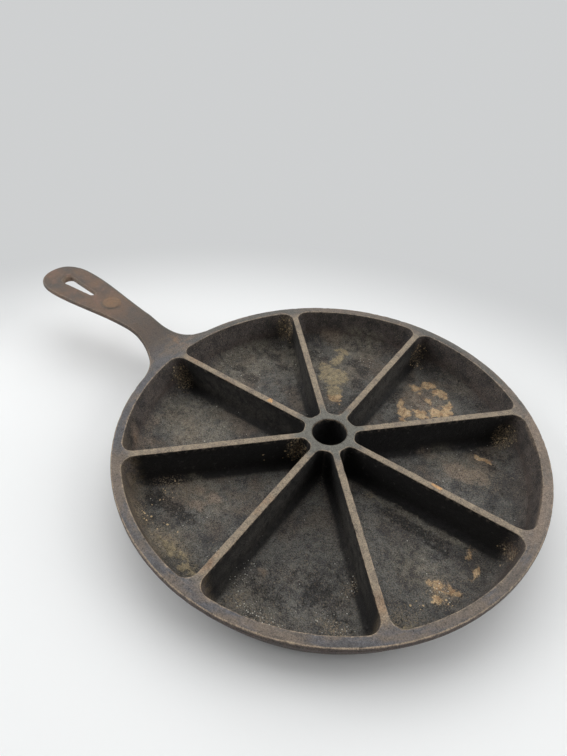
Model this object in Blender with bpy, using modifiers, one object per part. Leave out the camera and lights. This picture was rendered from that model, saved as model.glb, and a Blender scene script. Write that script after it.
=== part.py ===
# Cornbread skillet: one iron casting, a shallow round pan with eight wedge pockets round a bored
# hub, and a flat handle with a teardrop eye to hang it by. The casting is modelled in its natural
# sections, which meet at one narrow seam. Metres, +Z up, the table at Z = 0, the handle along +X.

import math

import bmesh
import bpy
from mathutils import Matrix

# Pan
RIM_RADIUS = 0.1175
PAN_HEIGHT = 0.0265  # from the table to the rim's flat top
FLOOR_THICKNESS = 0.0040
RIM_WIDTH = 0.0055  # from the rim's outer edge to a pocket
LIP_HEIGHT = 0.0047
LIP_OVERHANG = 0.0019  # of the rim over the wall below it
LIP_ROUND = 0.0010
WALL_DRAFT = math.radians(12.0)  # of the wall's outer side, narrowing downwards
BASE_ROUND = 0.0120  # outer corner between the wall and the base

# Pockets and the dividers between them
POCKET_COUNT = 8
DIVIDER_WIDTH = 0.0039  # across the top
DIVIDER_DRAFT = math.radians(1.5)
POCKET_WALL_DRAFT = math.radians(9.0)
DIVIDER_FILLET = 0.0035  # where a divider or the hub meets the floor
POCKET_WALL_FILLET = 0.0060  # where the round wall meets the floor
RIM_CORNER = 0.0065  # pocket corners at the rim, seen from above
HUB_CORNER = 0.0042  # pocket corners at the hub, seen from above
LEAST_CORNER = 0.0012  # any pocket corner, down at the floor
EDGE_ROUND = 0.0005  # worn top edges
STUB_LENGTH = 0.0120  # of a divider that belongs to the wall's section

# Hub
BORE_RADIUS = 0.0095
HUB_WALL = 0.0046

# Handle
HANDLE_REACH = 0.1145  # from the rim's outer edge to the handle's tip
NECK_WIDTH = 0.0186
GRIP_WIDTH = 0.0322  # at its widest
ROOT_FILLET = 0.0283  # seen from above, between the rim and the neck
TIP_LENGTH = 0.0214  # of the rounded end
TIP_FULLNESS = 2.3  # of that end seen from above, where 2 would be an ellipse
ROOT_THICKNESS = 0.0100
GRIP_THICKNESS = 0.0046
THINNING_REACH = 0.0375  # from the rim to where the handle has its grip's thickness
HANDLE_EDGE = 0.0034  # thickness at the handle's edges
EDGE_REACH = 0.0016  # of the rounding at those edges
LIFT_REACH = 0.0300  # from the rim to where the handle has lifted by HANDLE_LIFT
HANDLE_LIFT = 0.0105
LIFT_SLOPE = 0.12  # of the top at that point
TIP_LIFT = 0.0155
TIP_SLOPE = 0.04

# Hanging eye, measured where it is narrowest, and the round boss between it and the pan
EYE_LENGTH = 0.0292
EYE_WIDTH = 0.0069  # across its round end
EYE_POINT_WIDTH = 0.0044
EYE_TO_TIP = 0.0145
EYE_FLARE = 0.0016  # by which it is wider on every side at the handle's top
EYE_DISH = 0.0020  # depth of that flare
BOSS_DIAMETER = 0.0110
BOSS_HEIGHT = 0.0005
BOSS_TO_EYE = 0.0170  # from the boss's centre to the eye's point

# Clearances and fineness
SEAM = 0.0003  # between two sections that meet
CUT_MARGIN = 0.0020  # by which a cutter runs past what it cuts
ROUND_STEPS = 96
WALL_STEPS = 10  # for the wall's outer round
CORNER_STEPS = 5
ARC_STEPS = 6  # for half of a pocket's outer arc
FILLET_STEPS = 5
ROOT_STEPS = 12
GRIP_STEPS = 16
TIP_STEPS = 12
EYE_STEPS = 4

POCKET_RADIUS = RIM_RADIUS - RIM_WIDTH
HUB_RADIUS = BORE_RADIUS + HUB_WALL
WALL_RADIUS = RIM_RADIUS - LIP_OVERHANG
LIP_BOTTOM = PAN_HEIGHT - LIP_HEIGHT
FLOOR_SEAM = FLOOR_THICKNESS + SEAM
RING_RADIUS = POCKET_RADIUS - STUB_LENGTH  # inner end of the wall's section
HALF_POCKET = math.pi / POCKET_COUNT
TIP_X = RIM_RADIUS + HANDLE_REACH
PAN_CENTRE_X = (RIM_RADIUS - TIP_X) / 2  # so that the origin lies under the middle of the whole


def clear_scene():
    for found in list(bpy.data.objects):
        bpy.data.objects.remove(found, do_unlink=True)


def new_collection(name, helper=False):
    made = bpy.data.collections.new(name)
    bpy.context.scene.collection.children.link(made)
    made.hide_render = helper
    return made


def iron(name, colour, roughness):
    made = bpy.data.materials.new(name)
    made.use_nodes = True
    shader = made.node_tree.nodes["Principled BSDF"]
    shader.inputs["Base Color"].default_value = (*colour, 1.0)
    shader.inputs["Roughness"].default_value = roughness
    shader.inputs["Metallic"].default_value = 0.35
    made.diffuse_color = (*colour, 1.0)
    return made


def add_object(name, data, holder, material=None):
    made = bpy.data.objects.new(name, data)
    holder.objects.link(made)
    if material:
        data.materials.append(material)
    else:
        made.hide_render = True
        made.display_type = "WIRE"
    made.parent = origin
    return made


def finish(data):
    data.shade_smooth()
    data.set_sharp_from_angle(angle=math.radians(35))


def turned(name, profile, holder, material=None, closed=True):
    """A profile in X and Z, down its outer side first, turned about the pan's axis."""
    mesh = bpy.data.meshes.new(name)
    count = len(profile)
    edges = [(k, k + 1) for k in range(count - 1)]
    if closed:
        edges.append((count - 1, 0))
    mesh.from_pydata([(x, 0.0, z) for x, z in profile], edges, [])
    made = add_object(name, mesh, holder, material)
    screw = made.modifiers.new("turn", "SCREW")
    screw.steps = ROUND_STEPS
    screw.render_steps = ROUND_STEPS
    screw.use_merge_vertices = True
    screw.merge_threshold = 0.00001
    return made


def lofted(name, rings, holder, material=None):
    """Closed rings of equally many points, joined in order and capped at both ends."""
    shape = bmesh.new()
    loops = [[shape.verts.new(point) for point in ring] for ring in rings]
    for first, second in zip(loops, loops[1:]):
        for k in range(len(first)):
            after = (k + 1) % len(first)
            shape.faces.new((first[k], first[after], second[after], second[k]))
    shape.faces.new(loops[0])
    shape.faces.new(loops[-1])
    bmesh.ops.recalc_face_normals(shape, faces=shape.faces)
    mesh = bpy.data.meshes.new(name)
    shape.to_mesh(mesh)
    shape.free()
    return add_object(name, mesh, holder, material)


def plate(name, outline, half_thickness, holder, material=None):
    """A flat closed outline given a thickness, as a 2D curve."""
    curve = bpy.data.curves.new(name, "CURVE")
    curve.dimensions = "2D"
    curve.fill_mode = "BOTH"
    curve.extrude = half_thickness
    line = curve.splines.new("POLY")
    line.points.add(len(outline) - 1)
    for point, (x, y) in zip(line.points, outline):
        point.co = (x, y, 0.0, 1.0)
    line.use_cyclic_u = True
    return add_object(name, curve, holder, material)


def cut(target, tool, operation="DIFFERENCE"):
    step = target.modifiers.new(tool.name, "BOOLEAN")
    step.operation = operation
    step.solver = "EXACT"
    if isinstance(tool, bpy.types.Collection):
        step.operand_type = "COLLECTION"
        step.collection = tool
    else:
        step.object = tool


def rounded(radius, distance):
    """How far a quarter round of this radius stands off its two faces' corner lines."""
    if distance >= radius:
        return 0.0
    return radius - math.sqrt(radius**2 - (radius - max(distance, 0.0)) ** 2)


def pocket_inset(height, draft, fillet):
    """How far a pocket's wall stands in from its top edge at this height above the table."""
    depth = max(PAN_HEIGHT - height, 0.0)
    inset = depth * math.tan(draft) + rounded(fillet, height - FLOOR_THICKNESS)
    return inset - rounded(EDGE_ROUND, depth)


def divider_half(height):
    return DIVIDER_WIDTH / 2 + pocket_inset(height, DIVIDER_DRAFT, DIVIDER_FILLET)


def outer_radius(height):
    """The outside of the wall below the lip, and of the base's rounded corner."""
    drawn_in = (LIP_BOTTOM - height) * math.tan(WALL_DRAFT)
    return WALL_RADIUS - drawn_in - rounded(BASE_ROUND, height)


def wall_line(top, bottom, clearance=0.0):
    """The wall's outer side in X and Z, from one height down to another."""
    turns = [math.radians(90) * k / WALL_STEPS for k in range(WALL_STEPS)]
    heights = [BASE_ROUND * (1 - math.sin(turn)) for turn in turns]
    heights = [height for height in heights if bottom + SEAM < height < top - SEAM]
    return [(outer_radius(height) + clearance, height) for height in [top, *heights, bottom]]


def pocket_heights():
    """From above the rim down to the floor, close together where the walls curve."""
    heights = [PAN_HEIGHT + CUT_MARGIN, PAN_HEIGHT]
    heights += [PAN_HEIGHT - EDGE_ROUND * share for share in (0.3, 1.0)]
    for k in range(FILLET_STEPS + 1):
        turn = math.radians(90) * k / FILLET_STEPS
        heights.append(FLOOR_THICKNESS + POCKET_WALL_FILLET * (1 - math.sin(turn)))
    return heights


def arc(centre, radius, start, end, steps):
    return [
        (
            centre[0] + radius * math.cos(start + (end - start) * k / steps),
            centre[1] + radius * math.sin(start + (end - start) * k / steps),
        )
        for k in range(steps + 1)
    ]


def corner_centre(distance, radius, half):
    """Where a corner of this radius touches a divider, its centre this far from the axis."""
    angle = HALF_POCKET - math.asin((half + radius) / distance)
    return (distance * math.cos(angle), distance * math.sin(angle)), angle


def pocket_outline(height):
    """A pocket from above at one height, its middle line along +X."""
    side = pocket_inset(height, DIVIDER_DRAFT, DIVIDER_FILLET)
    half = divider_half(height)
    outer = POCKET_RADIUS - pocket_inset(height, POCKET_WALL_DRAFT, POCKET_WALL_FILLET)
    spread = math.sin(HALF_POCKET)
    least_inner = (half + LEAST_CORNER * (1 - spread)) / spread
    inner = max(HUB_RADIUS + side, least_inner)
    room = (inner * spread - half) / (1 - spread)  # circle between the hub and two dividers
    rim_corner = max(RIM_CORNER - side, LEAST_CORNER)
    hub_corner = min(HUB_CORNER, 0.98 * room)
    rim_centre, rim_angle = corner_centre(outer - rim_corner, rim_corner, half)
    hub_centre, hub_angle = corner_centre(inner + hub_corner, hub_corner, half)
    square = HALF_POCKET + math.pi / 2
    upper = arc((0.0, 0.0), outer, 0.0, rim_angle, ARC_STEPS)
    upper += arc(rim_centre, rim_corner, rim_angle, square, CORNER_STEPS)[1:]
    upper += arc(hub_centre, hub_corner, square, hub_angle + math.pi, CORNER_STEPS)
    upper.append((inner, 0.0))
    lower = [(x, -y) for x, y in reversed(upper[1:-1])]
    return upper + lower


def pocket_cutters():
    made = new_collection("pocket_cutters", helper=True)
    heights = pocket_heights()
    rings = [[(x, y, height) for x, y in pocket_outline(height)] for height in heights]
    first = lofted("pocket_cutter_1", rings, made)
    for k in range(POCKET_COUNT):
        copy = first if k == 0 else add_object(f"pocket_cutter_{k + 1}", first.data, made)
        copy.rotation_euler.z = HALF_POCKET * (2 * k + 1)
    return made


def round_profile(centre, radius, start, end, steps=4):
    """Part of a small round, in degrees from +X towards +Z."""
    return arc(centre, radius, math.radians(start), math.radians(end), steps)


def pan_floor(holder):
    profile = wall_line(FLOOR_THICKNESS, 0.0)
    profile += [
        (BORE_RADIUS + EDGE_ROUND, 0.0),
        (BORE_RADIUS, EDGE_ROUND),
        (BORE_RADIUS, FLOOR_THICKNESS),
    ]
    made = turned("pan_floor", profile, holder, iron("floor_iron", (0.050, 0.047, 0.045), 0.62))
    finish(made.data)
    return made


def side_wall(holder, pockets):
    lip_middle = RIM_RADIUS - LIP_ROUND
    profile = round_profile((lip_middle, PAN_HEIGHT - LIP_ROUND), LIP_ROUND, 90, 0)
    profile += round_profile((lip_middle, LIP_BOTTOM + LIP_ROUND), LIP_ROUND, 0, -90)
    profile += wall_line(LIP_BOTTOM, FLOOR_SEAM)
    profile += [(RING_RADIUS, FLOOR_SEAM), (RING_RADIUS, PAN_HEIGHT)]
    made = turned("side_wall", profile, holder, iron("wall_iron", (0.115, 0.100, 0.092), 0.55))
    finish(made.data)
    cut(made, pockets)
    return made


def hub_reach():
    """From the pan's axis to the seam between the hub's section and a divider."""
    floor_half = divider_half(FLOOR_THICKNESS)
    inner = HUB_RADIUS + pocket_inset(FLOOR_THICKNESS, DIVIDER_DRAFT, DIVIDER_FILLET)
    spread = math.sin(HALF_POCKET)
    at_floor = max(inner + LEAST_CORNER, (floor_half + LEAST_CORNER) / spread)
    at_top = HUB_RADIUS + HUB_CORNER
    return max(at_floor, at_top) + CUT_MARGIN / 2


def center_hub(holder, pockets, cutters):
    """A tube with the start of each divider, cut square across the dividers."""
    height = PAN_HEIGHT - FLOOR_SEAM
    shape = bmesh.new()
    across = (hub_reach() - SEAM / 2) / math.cos(HALF_POCKET)
    place = Matrix.Translation((0.0, 0.0, FLOOR_SEAM + height / 2))
    place @= Matrix.Rotation(HALF_POCKET, 4, "Z")
    bmesh.ops.create_cone(
        shape, cap_ends=True, segments=POCKET_COUNT, radius1=across, radius2=across, depth=height
    )
    first = min(shape.verts, key=lambda v: abs(math.atan2(v.co.y, v.co.x)))
    straight = Matrix.Rotation(-math.atan2(first.co.y, first.co.x), 4, "Z")
    bmesh.ops.transform(shape, matrix=place @ straight, verts=shape.verts)
    mesh = bpy.data.meshes.new("center_hub")
    shape.to_mesh(mesh)
    shape.free()
    made = add_object("center_hub", mesh, holder, iron("hub_iron", (0.130, 0.115, 0.105), 0.50))
    finish(mesh)
    bore_top = PAN_HEIGHT + CUT_MARGIN
    profile = [(0.0, bore_top), (BORE_RADIUS + EDGE_ROUND, bore_top)]
    rounding = (BORE_RADIUS + EDGE_ROUND, PAN_HEIGHT - EDGE_ROUND)
    profile += round_profile(rounding, EDGE_ROUND, 90, 180, 3)
    profile += [(BORE_RADIUS, -CUT_MARGIN), (0.0, -CUT_MARGIN)]
    bore = turned("bore_cutter", profile, cutters, closed=False)
    cut(made, bore)
    cut(made, pockets)
    return made


def dividers(holder):
    """Thin drafted walls with a fillet at the foot, all one section shape."""
    start = hub_reach() + SEAM / 2
    end = RING_RADIUS - SEAM
    heights = [height for height in pocket_heights() if FLOOR_SEAM < height <= PAN_HEIGHT]
    heights.append(FLOOR_SEAM)
    right = [(divider_half(height), height) for height in heights]
    outline = right + [(-x, y) for x, y in reversed(right)]
    metal = iron("divider_iron", (0.165, 0.132, 0.105), 0.52)
    first = plate("divider_1", outline, (end - start) / 2, holder, metal)
    middle = (start + end) / 2
    for k in range(POCKET_COUNT):
        angle = 2 * HALF_POCKET * k
        copy = first
        if k > 0:
            copy = bpy.data.objects.new(f"divider_{k + 1}", first.data)
            holder.objects.link(copy)
            copy.parent = origin
        copy.location = (middle * math.cos(angle), middle * math.sin(angle), 0.0)
        copy.rotation_euler = (math.radians(90), 0.0, angle + math.radians(90))


def eased(share):
    share = min(max(share, 0.0), 1.0)
    return share * share * (3 - 2 * share)


def bend(share, start, end, start_slope, end_slope):
    """A smooth curve between two heights with given slopes at its ends."""
    rest = 1 - share
    value = start * (1 + 2 * share) * rest**2 + end * share**2 * (3 - 2 * share)
    return value + start_slope * share * rest**2 - end_slope * rest * share**2


def handle_top(x):
    """Height of the handle's top face: flush with the rim, then lifting towards the tip."""
    out = x - RIM_RADIUS
    if out <= 0:
        return PAN_HEIGHT
    if out < LIFT_REACH:
        lift = bend(out / LIFT_REACH, 0.0, HANDLE_LIFT, 0.0, LIFT_SLOPE * LIFT_REACH)
        return PAN_HEIGHT + lift
    length = HANDLE_REACH - LIFT_REACH
    share = (out - LIFT_REACH) / length
    lift = bend(share, HANDLE_LIFT, TIP_LIFT, LIFT_SLOPE * length, TIP_SLOPE * length)
    return PAN_HEIGHT + lift


def neck_x():
    """Where the root's fillet ends and the neck is narrowest."""
    return math.sqrt((RIM_RADIUS + ROOT_FILLET) ** 2 - (NECK_WIDTH / 2 + ROOT_FILLET) ** 2)


def handle_stations():
    """Places along the handle with its half width there, from inside the rim to the tip."""
    neck = neck_x()
    side = NECK_WIDTH / 2 + ROOT_FILLET
    touch = math.atan2(side, neck)  # direction of the point where the fillet leaves the rim
    stations = [(WALL_RADIUS * math.cos(touch) - BASE_ROUND, RIM_RADIUS * math.sin(touch))]
    for k in range(ROOT_STEPS + 1):
        turn = touch + (math.pi / 2 - touch) * k / ROOT_STEPS
        stations.append((neck - ROOT_FILLET * math.cos(turn), side - ROOT_FILLET * math.sin(turn)))
    widest = TIP_X - TIP_LENGTH
    for k in range(1, GRIP_STEPS + 1):
        share = k / GRIP_STEPS
        half = NECK_WIDTH / 2 + (GRIP_WIDTH - NECK_WIDTH) / 2 * eased(share)
        stations.append((neck + (widest - neck) * share, half))
    for k in range(1, TIP_STEPS + 1):
        turn = math.radians(86) * k / TIP_STEPS
        x = widest + TIP_LENGTH * math.sin(turn) ** (2 / TIP_FULLNESS)
        stations.append((x, GRIP_WIDTH / 2 * math.cos(turn) ** (2 / TIP_FULLNESS)))
    return stations


def handle_section(x, half):
    """Flat on top, rounded at the edges, fuller in the middle underneath."""
    grip = eased((x - RIM_RADIUS) / THINNING_REACH)
    middle = ROOT_THICKNESS + (GRIP_THICKNESS - ROOT_THICKNESS) * grip
    nose = 1 - rounded(1.0, (TIP_X - x) / EDGE_REACH)  # the tip's edge is rounded too
    edge = HANDLE_EDGE * nose
    belly = max(middle * nose - edge, 0.0)
    top = handle_top(x) - HANDLE_EDGE * (1 - nose) / 2
    reach = min(EDGE_REACH, 0.6 * half)
    flat = half - reach
    right = [(0.0, top), (flat * 0.5, top)]
    for k in range(7):
        turn = math.pi / 2 - math.pi * k / 6
        right.append((flat + reach * math.cos(turn), top - edge / 2 + edge / 2 * math.sin(turn)))
    for share in (0.75, 0.5, 0.25, 0.0):
        full = math.cos(math.pi / 2 * share) ** 2
        right.append((flat * share, top - edge - belly * full))
    ring = right + [(-y, z) for y, z in reversed(right[1:-1])]
    return [(x, y, z) for y, z in ring]


def eye_outline(spread):
    """A teardrop: a round end towards the tip and a narrow one towards the pan."""
    large = EYE_WIDTH / 2
    small = EYE_POINT_WIDTH / 2
    far = TIP_X - EYE_TO_TIP - large
    near = TIP_X - EYE_TO_TIP - EYE_LENGTH + small
    lean = math.acos((large - small) / (far - near))  # where the sides touch both rounds
    sides = arc((far, 0.0), large + spread, -(math.pi - lean), math.pi - lean, 16)
    return sides + arc((near, 0.0), small + spread, math.pi - lean, math.pi + lean, 6)


def eye_cutter(holder):
    """Dished at the handle's top, steepening down to the eye's narrowest outline."""
    rings = []
    for k in range(EYE_STEPS + 2):
        depth = EYE_DISH * (k - 1) / EYE_STEPS  # the first ring stands clear above the handle
        spread = EYE_FLARE * (1 - depth / EYE_DISH) ** 2
        rings.append([(x, y, handle_top(x) - depth) for x, y in eye_outline(spread)])
    rings.append([(x, y, handle_top(x) - ROOT_THICKNESS) for x, y in eye_outline(0.0)])
    return lofted("eye_cutter", rings, holder)


def handle(holder, cutters):
    rings = [handle_section(x, half) for x, half in handle_stations()]
    made = lofted("handle", rings, holder, iron("handle_iron", (0.150, 0.112, 0.088), 0.58))
    finish(made.data)

    boss_x = TIP_X - EYE_TO_TIP - EYE_LENGTH - BOSS_TO_EYE
    slope = math.atan2(handle_top(boss_x + 0.001) - handle_top(boss_x - 0.001), 0.002)
    shape = bmesh.new()
    radius = BOSS_DIAMETER / 2
    sunk = GRIP_THICKNESS / 2
    bmesh.ops.create_cone(
        shape,
        cap_ends=True,
        segments=32,
        radius1=radius + 2 * BOSS_HEIGHT,
        radius2=radius,
        depth=sunk + BOSS_HEIGHT,
    )
    place = Matrix.Translation((boss_x, 0.0, handle_top(boss_x)))
    place @= Matrix.Rotation(-slope, 4, "Y")
    place @= Matrix.Translation((0.0, 0.0, (BOSS_HEIGHT - sunk) / 2))
    bmesh.ops.transform(shape, matrix=place, verts=shape.verts)
    mesh = bpy.data.meshes.new("boss")
    shape.to_mesh(mesh)
    shape.free()
    cut(made, add_object("boss", mesh, cutters), "UNION")

    cut(made, eye_cutter(cutters))

    over = PAN_HEIGHT + TIP_LIFT
    profile = [(0.0, over), (RIM_RADIUS + SEAM, over), (RIM_RADIUS + SEAM, LIP_BOTTOM - SEAM)]
    profile += wall_line(LIP_BOTTOM - SEAM, 0.0, SEAM)
    profile.append((0.0, 0.0))
    cut(made, turned("handle_seat_cutter", profile, cutters, closed=False))
    return made


clear_scene()
skillet = new_collection("cornbread_skillet")
helpers = new_collection("cutters", helper=True)
origin = bpy.data.objects.new("pan_centre", None)
skillet.objects.link(origin)
origin.location = (PAN_CENTRE_X, 0.0, 0.0)
wedges = pocket_cutters()
pan_floor(skillet)
side_wall(skillet, wedges)
center_hub(skillet, wedges, helpers)
dividers(skillet)
handle(skillet, helpers)
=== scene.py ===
# Cornbread skillet: one old iron casting with eight wedge pockets, a bored hub and a flat handle.
# Everything is in metres. The casting is drawn round the pan's axis and moved onto the frame at the end.

import math

import bmesh
import bpy
from mathutils import Matrix, Vector, noise


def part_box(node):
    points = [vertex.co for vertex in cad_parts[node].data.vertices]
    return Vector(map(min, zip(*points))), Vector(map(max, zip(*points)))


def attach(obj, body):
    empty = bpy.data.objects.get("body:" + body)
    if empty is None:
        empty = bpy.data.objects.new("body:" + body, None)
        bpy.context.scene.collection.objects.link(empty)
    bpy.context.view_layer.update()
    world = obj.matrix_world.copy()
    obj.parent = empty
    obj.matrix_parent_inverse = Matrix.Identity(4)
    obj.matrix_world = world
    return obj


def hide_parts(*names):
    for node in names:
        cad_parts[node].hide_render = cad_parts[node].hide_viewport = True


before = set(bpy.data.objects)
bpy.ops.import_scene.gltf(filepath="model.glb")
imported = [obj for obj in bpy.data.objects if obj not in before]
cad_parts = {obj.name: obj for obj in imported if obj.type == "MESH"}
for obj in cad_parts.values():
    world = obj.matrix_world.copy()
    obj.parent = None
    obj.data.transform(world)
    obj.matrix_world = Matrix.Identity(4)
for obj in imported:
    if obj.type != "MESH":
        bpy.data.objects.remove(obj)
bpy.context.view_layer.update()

wallLow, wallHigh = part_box("side_wall")
panX = (wallLow.x + wallHigh.x) / 2
rimRadius = (wallHigh.x - wallLow.x) / 2
rimTop = wallHigh.z
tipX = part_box("handle")[1].x - panX

view = {
    "place": (-0.158686, 0.192391, 0.261680),
    "turn": (0.83293, -0.019816, -2.518186),
    "lens": 27.539,
    "sensor": 36.0,
    "near": 0.01,
    "far": 20.0,
}

pan = {
    "floor": 0.0040,  # height of the pockets' floor above the table
    "rimWidth": 0.0055,
    "lipHeight": 0.0047,
    "lipOverhang": 0.0019,
    "lipRound": 0.0010,
    "wallDraft": math.radians(12.0),
    "baseRound": 0.0120,
    "boreRadius": 0.0095,
    "boreRound": 0.0005,
    "boreSteps": 9,
    "wallSteps": 13,
    "underLip": ((0.00008, 0.35), (0.00035, 0.07), (0.0009, 0.0)),  # drop, share of its overhang
    "baseRings": (0.096, 0.088),
}

pocket = {
    "count": 8,
    "dividerWidth": 0.0039,
    "dividerDraft": math.radians(1.5),
    "wallDraft": math.radians(9.0),
    "dividerFillet": 0.0035,
    "wallFillet": 0.0070,
    "rimCorner": 0.0065,
    "hubCorner": 0.0042,
    "leastCorner": 0.0012,
    "edgeRound": 0.0005,
    "edgeTurns": ((35, 1.0, 0.8), (62, 1.0, 0.4), (90, 0.6, 0.1)),  # degrees, wear, top's colour
    "hubWall": 0.0046,
    "rimSteps": 19,  # these steps are for half of a pocket's outline
    "cornerSteps": 10,
    "sideSteps": 52,
    "wallRings": 7,
    "filletRings": 10,
    "floorRings": 20,
    "floorMiddle": 0.070,  # where the floor's rings close, from the pan's axis
    "closing": 0.01,  # the innermost ring's share of the floor, before it is merged
    "wallSpacing": 1.25,  # above 1 the wall's rings stand closer at the top
    "floorSpacing": 1.1,  # above 1 the floor's rings stand closer at the walls
    "wallWear": 0.15,
    "filletHollow": 1.6,
    "floorHollow": (0.75, 0.14),  # at the fillet, and how much less on each ring further in
}

grip = {
    "rootAngle": math.radians(15.0),  # where the root leaves the rim
    "neckWidth": 0.0186,
    "width": 0.0322,
    "tipLength": 0.0214,
    "tipFullness": 2.3,
    "rootThickness": 0.0100,
    "thickness": 0.0046,
    "thinningReach": 0.0375,
    "edge": 0.0034,
    "edgeReach": 0.0016,
    "liftReach": 0.0300,
    "lift": 0.0105,
    "liftSlope": 0.12,
    "tipLift": 0.0155,
    "tipSlope": 0.04,
    "rootFillet": 0.0035,  # underneath, between the handle and the wall
    "rows": 16,  # on each side of the middle
    "rootSteps": 24,
    "gripSteps": 44,
    "tipSteps": 14,
    "capTurn": math.radians(50.0),
    "landing": 7,  # the station where the lower side has left the wall
    "bellyFade": 8,  # stations over which the fuller middle fades out at the tip
    "relaxRounds": 40,
}

eye = {
    "length": 0.0292,  # this and the widths are taken where the eye is narrowest
    "width": 0.0069,
    "pointWidth": 0.0031,
    "toTip": 0.0145,
    "flare": 0.0016,
    "dish": 0.0020,
    "dishSteps": 6,
    "lowerRound": 0.0007,
    "lowerWear": 0.8,
    "rows": 8,
}

boss = {
    "radius": 0.0055,
    "height": 0.0005,
    "toEye": 0.0170,
    "foot": 0.0070,
    "clearing": 0.0062,
    "rows": 8,
    "rings": (  # size, height
        (1.14, 0.0), (1.06, 0.12), (1.01, 0.45), (0.97, 0.82), (0.90, 1.0), (0.6, 1.0), (0.3, 1.0),
    ),
}

sewing = {"same": 0.00001, "close": 0.00002, "seam": 0.0002}

halfPocket = math.pi / pocket["count"]
pocketRadius = rimRadius - pan["rimWidth"]
hubRadius = pan["boreRadius"] + pocket["hubWall"]
wallRadius = rimRadius - pan["lipOverhang"]
lipBottom = rimTop - pan["lipHeight"]


def mix(a, b, share):
    return a + (b - a) * share


def eased(share):
    share = min(max(share, 0.0), 1.0)
    return share * share * (3 - 2 * share)


def rounded(radius, distance):
    # how far a quarter round stands off the corner lines of its two faces
    if distance >= radius:
        return 0.0
    return radius - math.sqrt(radius**2 - (radius - max(distance, 0.0)) ** 2)


def fallen(radius, degrees):
    # how far a quarter round of this radius has dropped after this many degrees
    return radius * (1 - math.cos(math.radians(degrees)))


def standing(radius, degrees):
    # how far it still is from its widest line
    return radius * (1 - math.sin(math.radians(degrees)))


def polar(radius, turn, *height):
    return (radius * math.cos(turn), radius * math.sin(turn), *height)


def outerRadius(height):
    drawnIn = (lipBottom - height) * math.tan(pan["wallDraft"])
    return wallRadius - drawnIn - rounded(pan["baseRound"], height)


def pocketInset(height, draft, fillet):
    depth = max(rimTop - height, 0.0)
    inset = depth * math.tan(draft) + rounded(fillet, height - pan["floor"])
    return inset - rounded(pocket["edgeRound"], depth)


def arcPoints(x, y, radius, start, end, steps):
    points = []
    for k in range(steps + 1):
        turn = mix(start, end, k / steps)
        points.append((x + radius * math.cos(turn), y + radius * math.sin(turn)))
    return points


def mirrored(half):
    return half + [(x, -y) for x, y in reversed(half[1:-1])]


# A pocket from above at one height, its middle along +X
def pocketLine(height):
    side = pocketInset(height, pocket["dividerDraft"], pocket["dividerFillet"])
    half = pocket["dividerWidth"] / 2 + side
    outer = pocketRadius - pocketInset(height, pocket["wallDraft"], pocket["wallFillet"])
    spread = math.sin(halfPocket)
    leastInner = (half + pocket["leastCorner"] * (1 - spread)) / spread
    inner = max(hubRadius + side, leastInner)
    widestCorner = (inner * spread - half) / (1 - spread)
    rimCorner = max(pocket["rimCorner"] - side, pocket["leastCorner"])
    hubCorner = min(pocket["hubCorner"], 0.98 * widestCorner)
    rimAway = outer - rimCorner
    hubAway = inner + hubCorner
    rimTurn = halfPocket - math.asin((half + rimCorner) / rimAway)
    hubTurn = halfPocket - math.asin((half + hubCorner) / hubAway)
    square = halfPocket + math.pi / 2
    steps = pocket["cornerSteps"]
    line = arcPoints(0, 0, outer, 0, rimTurn, pocket["rimSteps"])
    line += arcPoints(*polar(rimAway, rimTurn), rimCorner, rimTurn, square, steps)[1:]
    hub = arcPoints(*polar(hubAway, hubTurn), hubCorner, square, hubTurn + math.pi, steps)
    start = line[-1]
    for k in range(1, pocket["sideSteps"]):
        share = k / pocket["sideSteps"]
        line.append((mix(start[0], hub[0][0], share), mix(start[1], hub[0][1], share)))
    line += hub
    line.append((inner, 0.0))
    return mirrored(line)


# The same walk along the middle of the dividers, the rim's edge and the bore
def cellLine():
    top = pocketLine(rimTop)
    rimEnd = pocket["rimSteps"] + pocket["cornerSteps"] // 2
    sideStart = pocket["rimSteps"] + pocket["cornerSteps"]
    sideEnd = sideStart + pocket["sideSteps"]
    boreStart = sideEnd + pocket["cornerSteps"] // 2
    last = sideEnd + pocket["cornerSteps"] + 1
    alongX = math.cos(halfPocket)
    alongY = math.sin(halfPocket)
    outer = rimRadius - pan["lipRound"]
    inner = pan["boreRadius"] + pan["boreRound"]
    line = []
    for k in range(last + 1):
        if k <= rimEnd:
            line.append(polar(outer, halfPocket * k / rimEnd))
        elif k < boreStart:
            nearest = min(max(k, sideStart), sideEnd)
            reach = top[nearest][0] * alongX + top[nearest][1] * alongY
            if k < sideStart:
                reach = mix(outer, reach, (k - rimEnd) / (sideStart - rimEnd))
            if k > sideEnd:
                reach = mix(reach, inner, (k - sideEnd) / (boreStart - sideEnd))
            line.append((reach * alongX, reach * alongY))
        else:
            line.append(polar(inner, halfPocket * (last - k) / (last - boreStart)))
    return mirrored(line)


def handleTop(x):
    out = x - rimRadius
    if out <= 0:
        return rimTop
    reach = grip["liftReach"]
    if out < reach:
        return rimTop + bend(out / reach, 0.0, grip["lift"], 0.0, grip["liftSlope"] * reach)
    length = tipX - rimRadius - reach
    slopes = (grip["liftSlope"] * length, grip["tipSlope"] * length)
    return rimTop + bend((out - reach) / length, grip["lift"], grip["tipLift"], *slopes)


def bend(share, start, end, startSlope, endSlope):
    rest = 1 - share
    value = start * (1 + 2 * share) * rest**2 + end * share**2 * (3 - 2 * share)
    return value + startSlope * share * rest**2 - endSlope * rest * share**2


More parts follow.
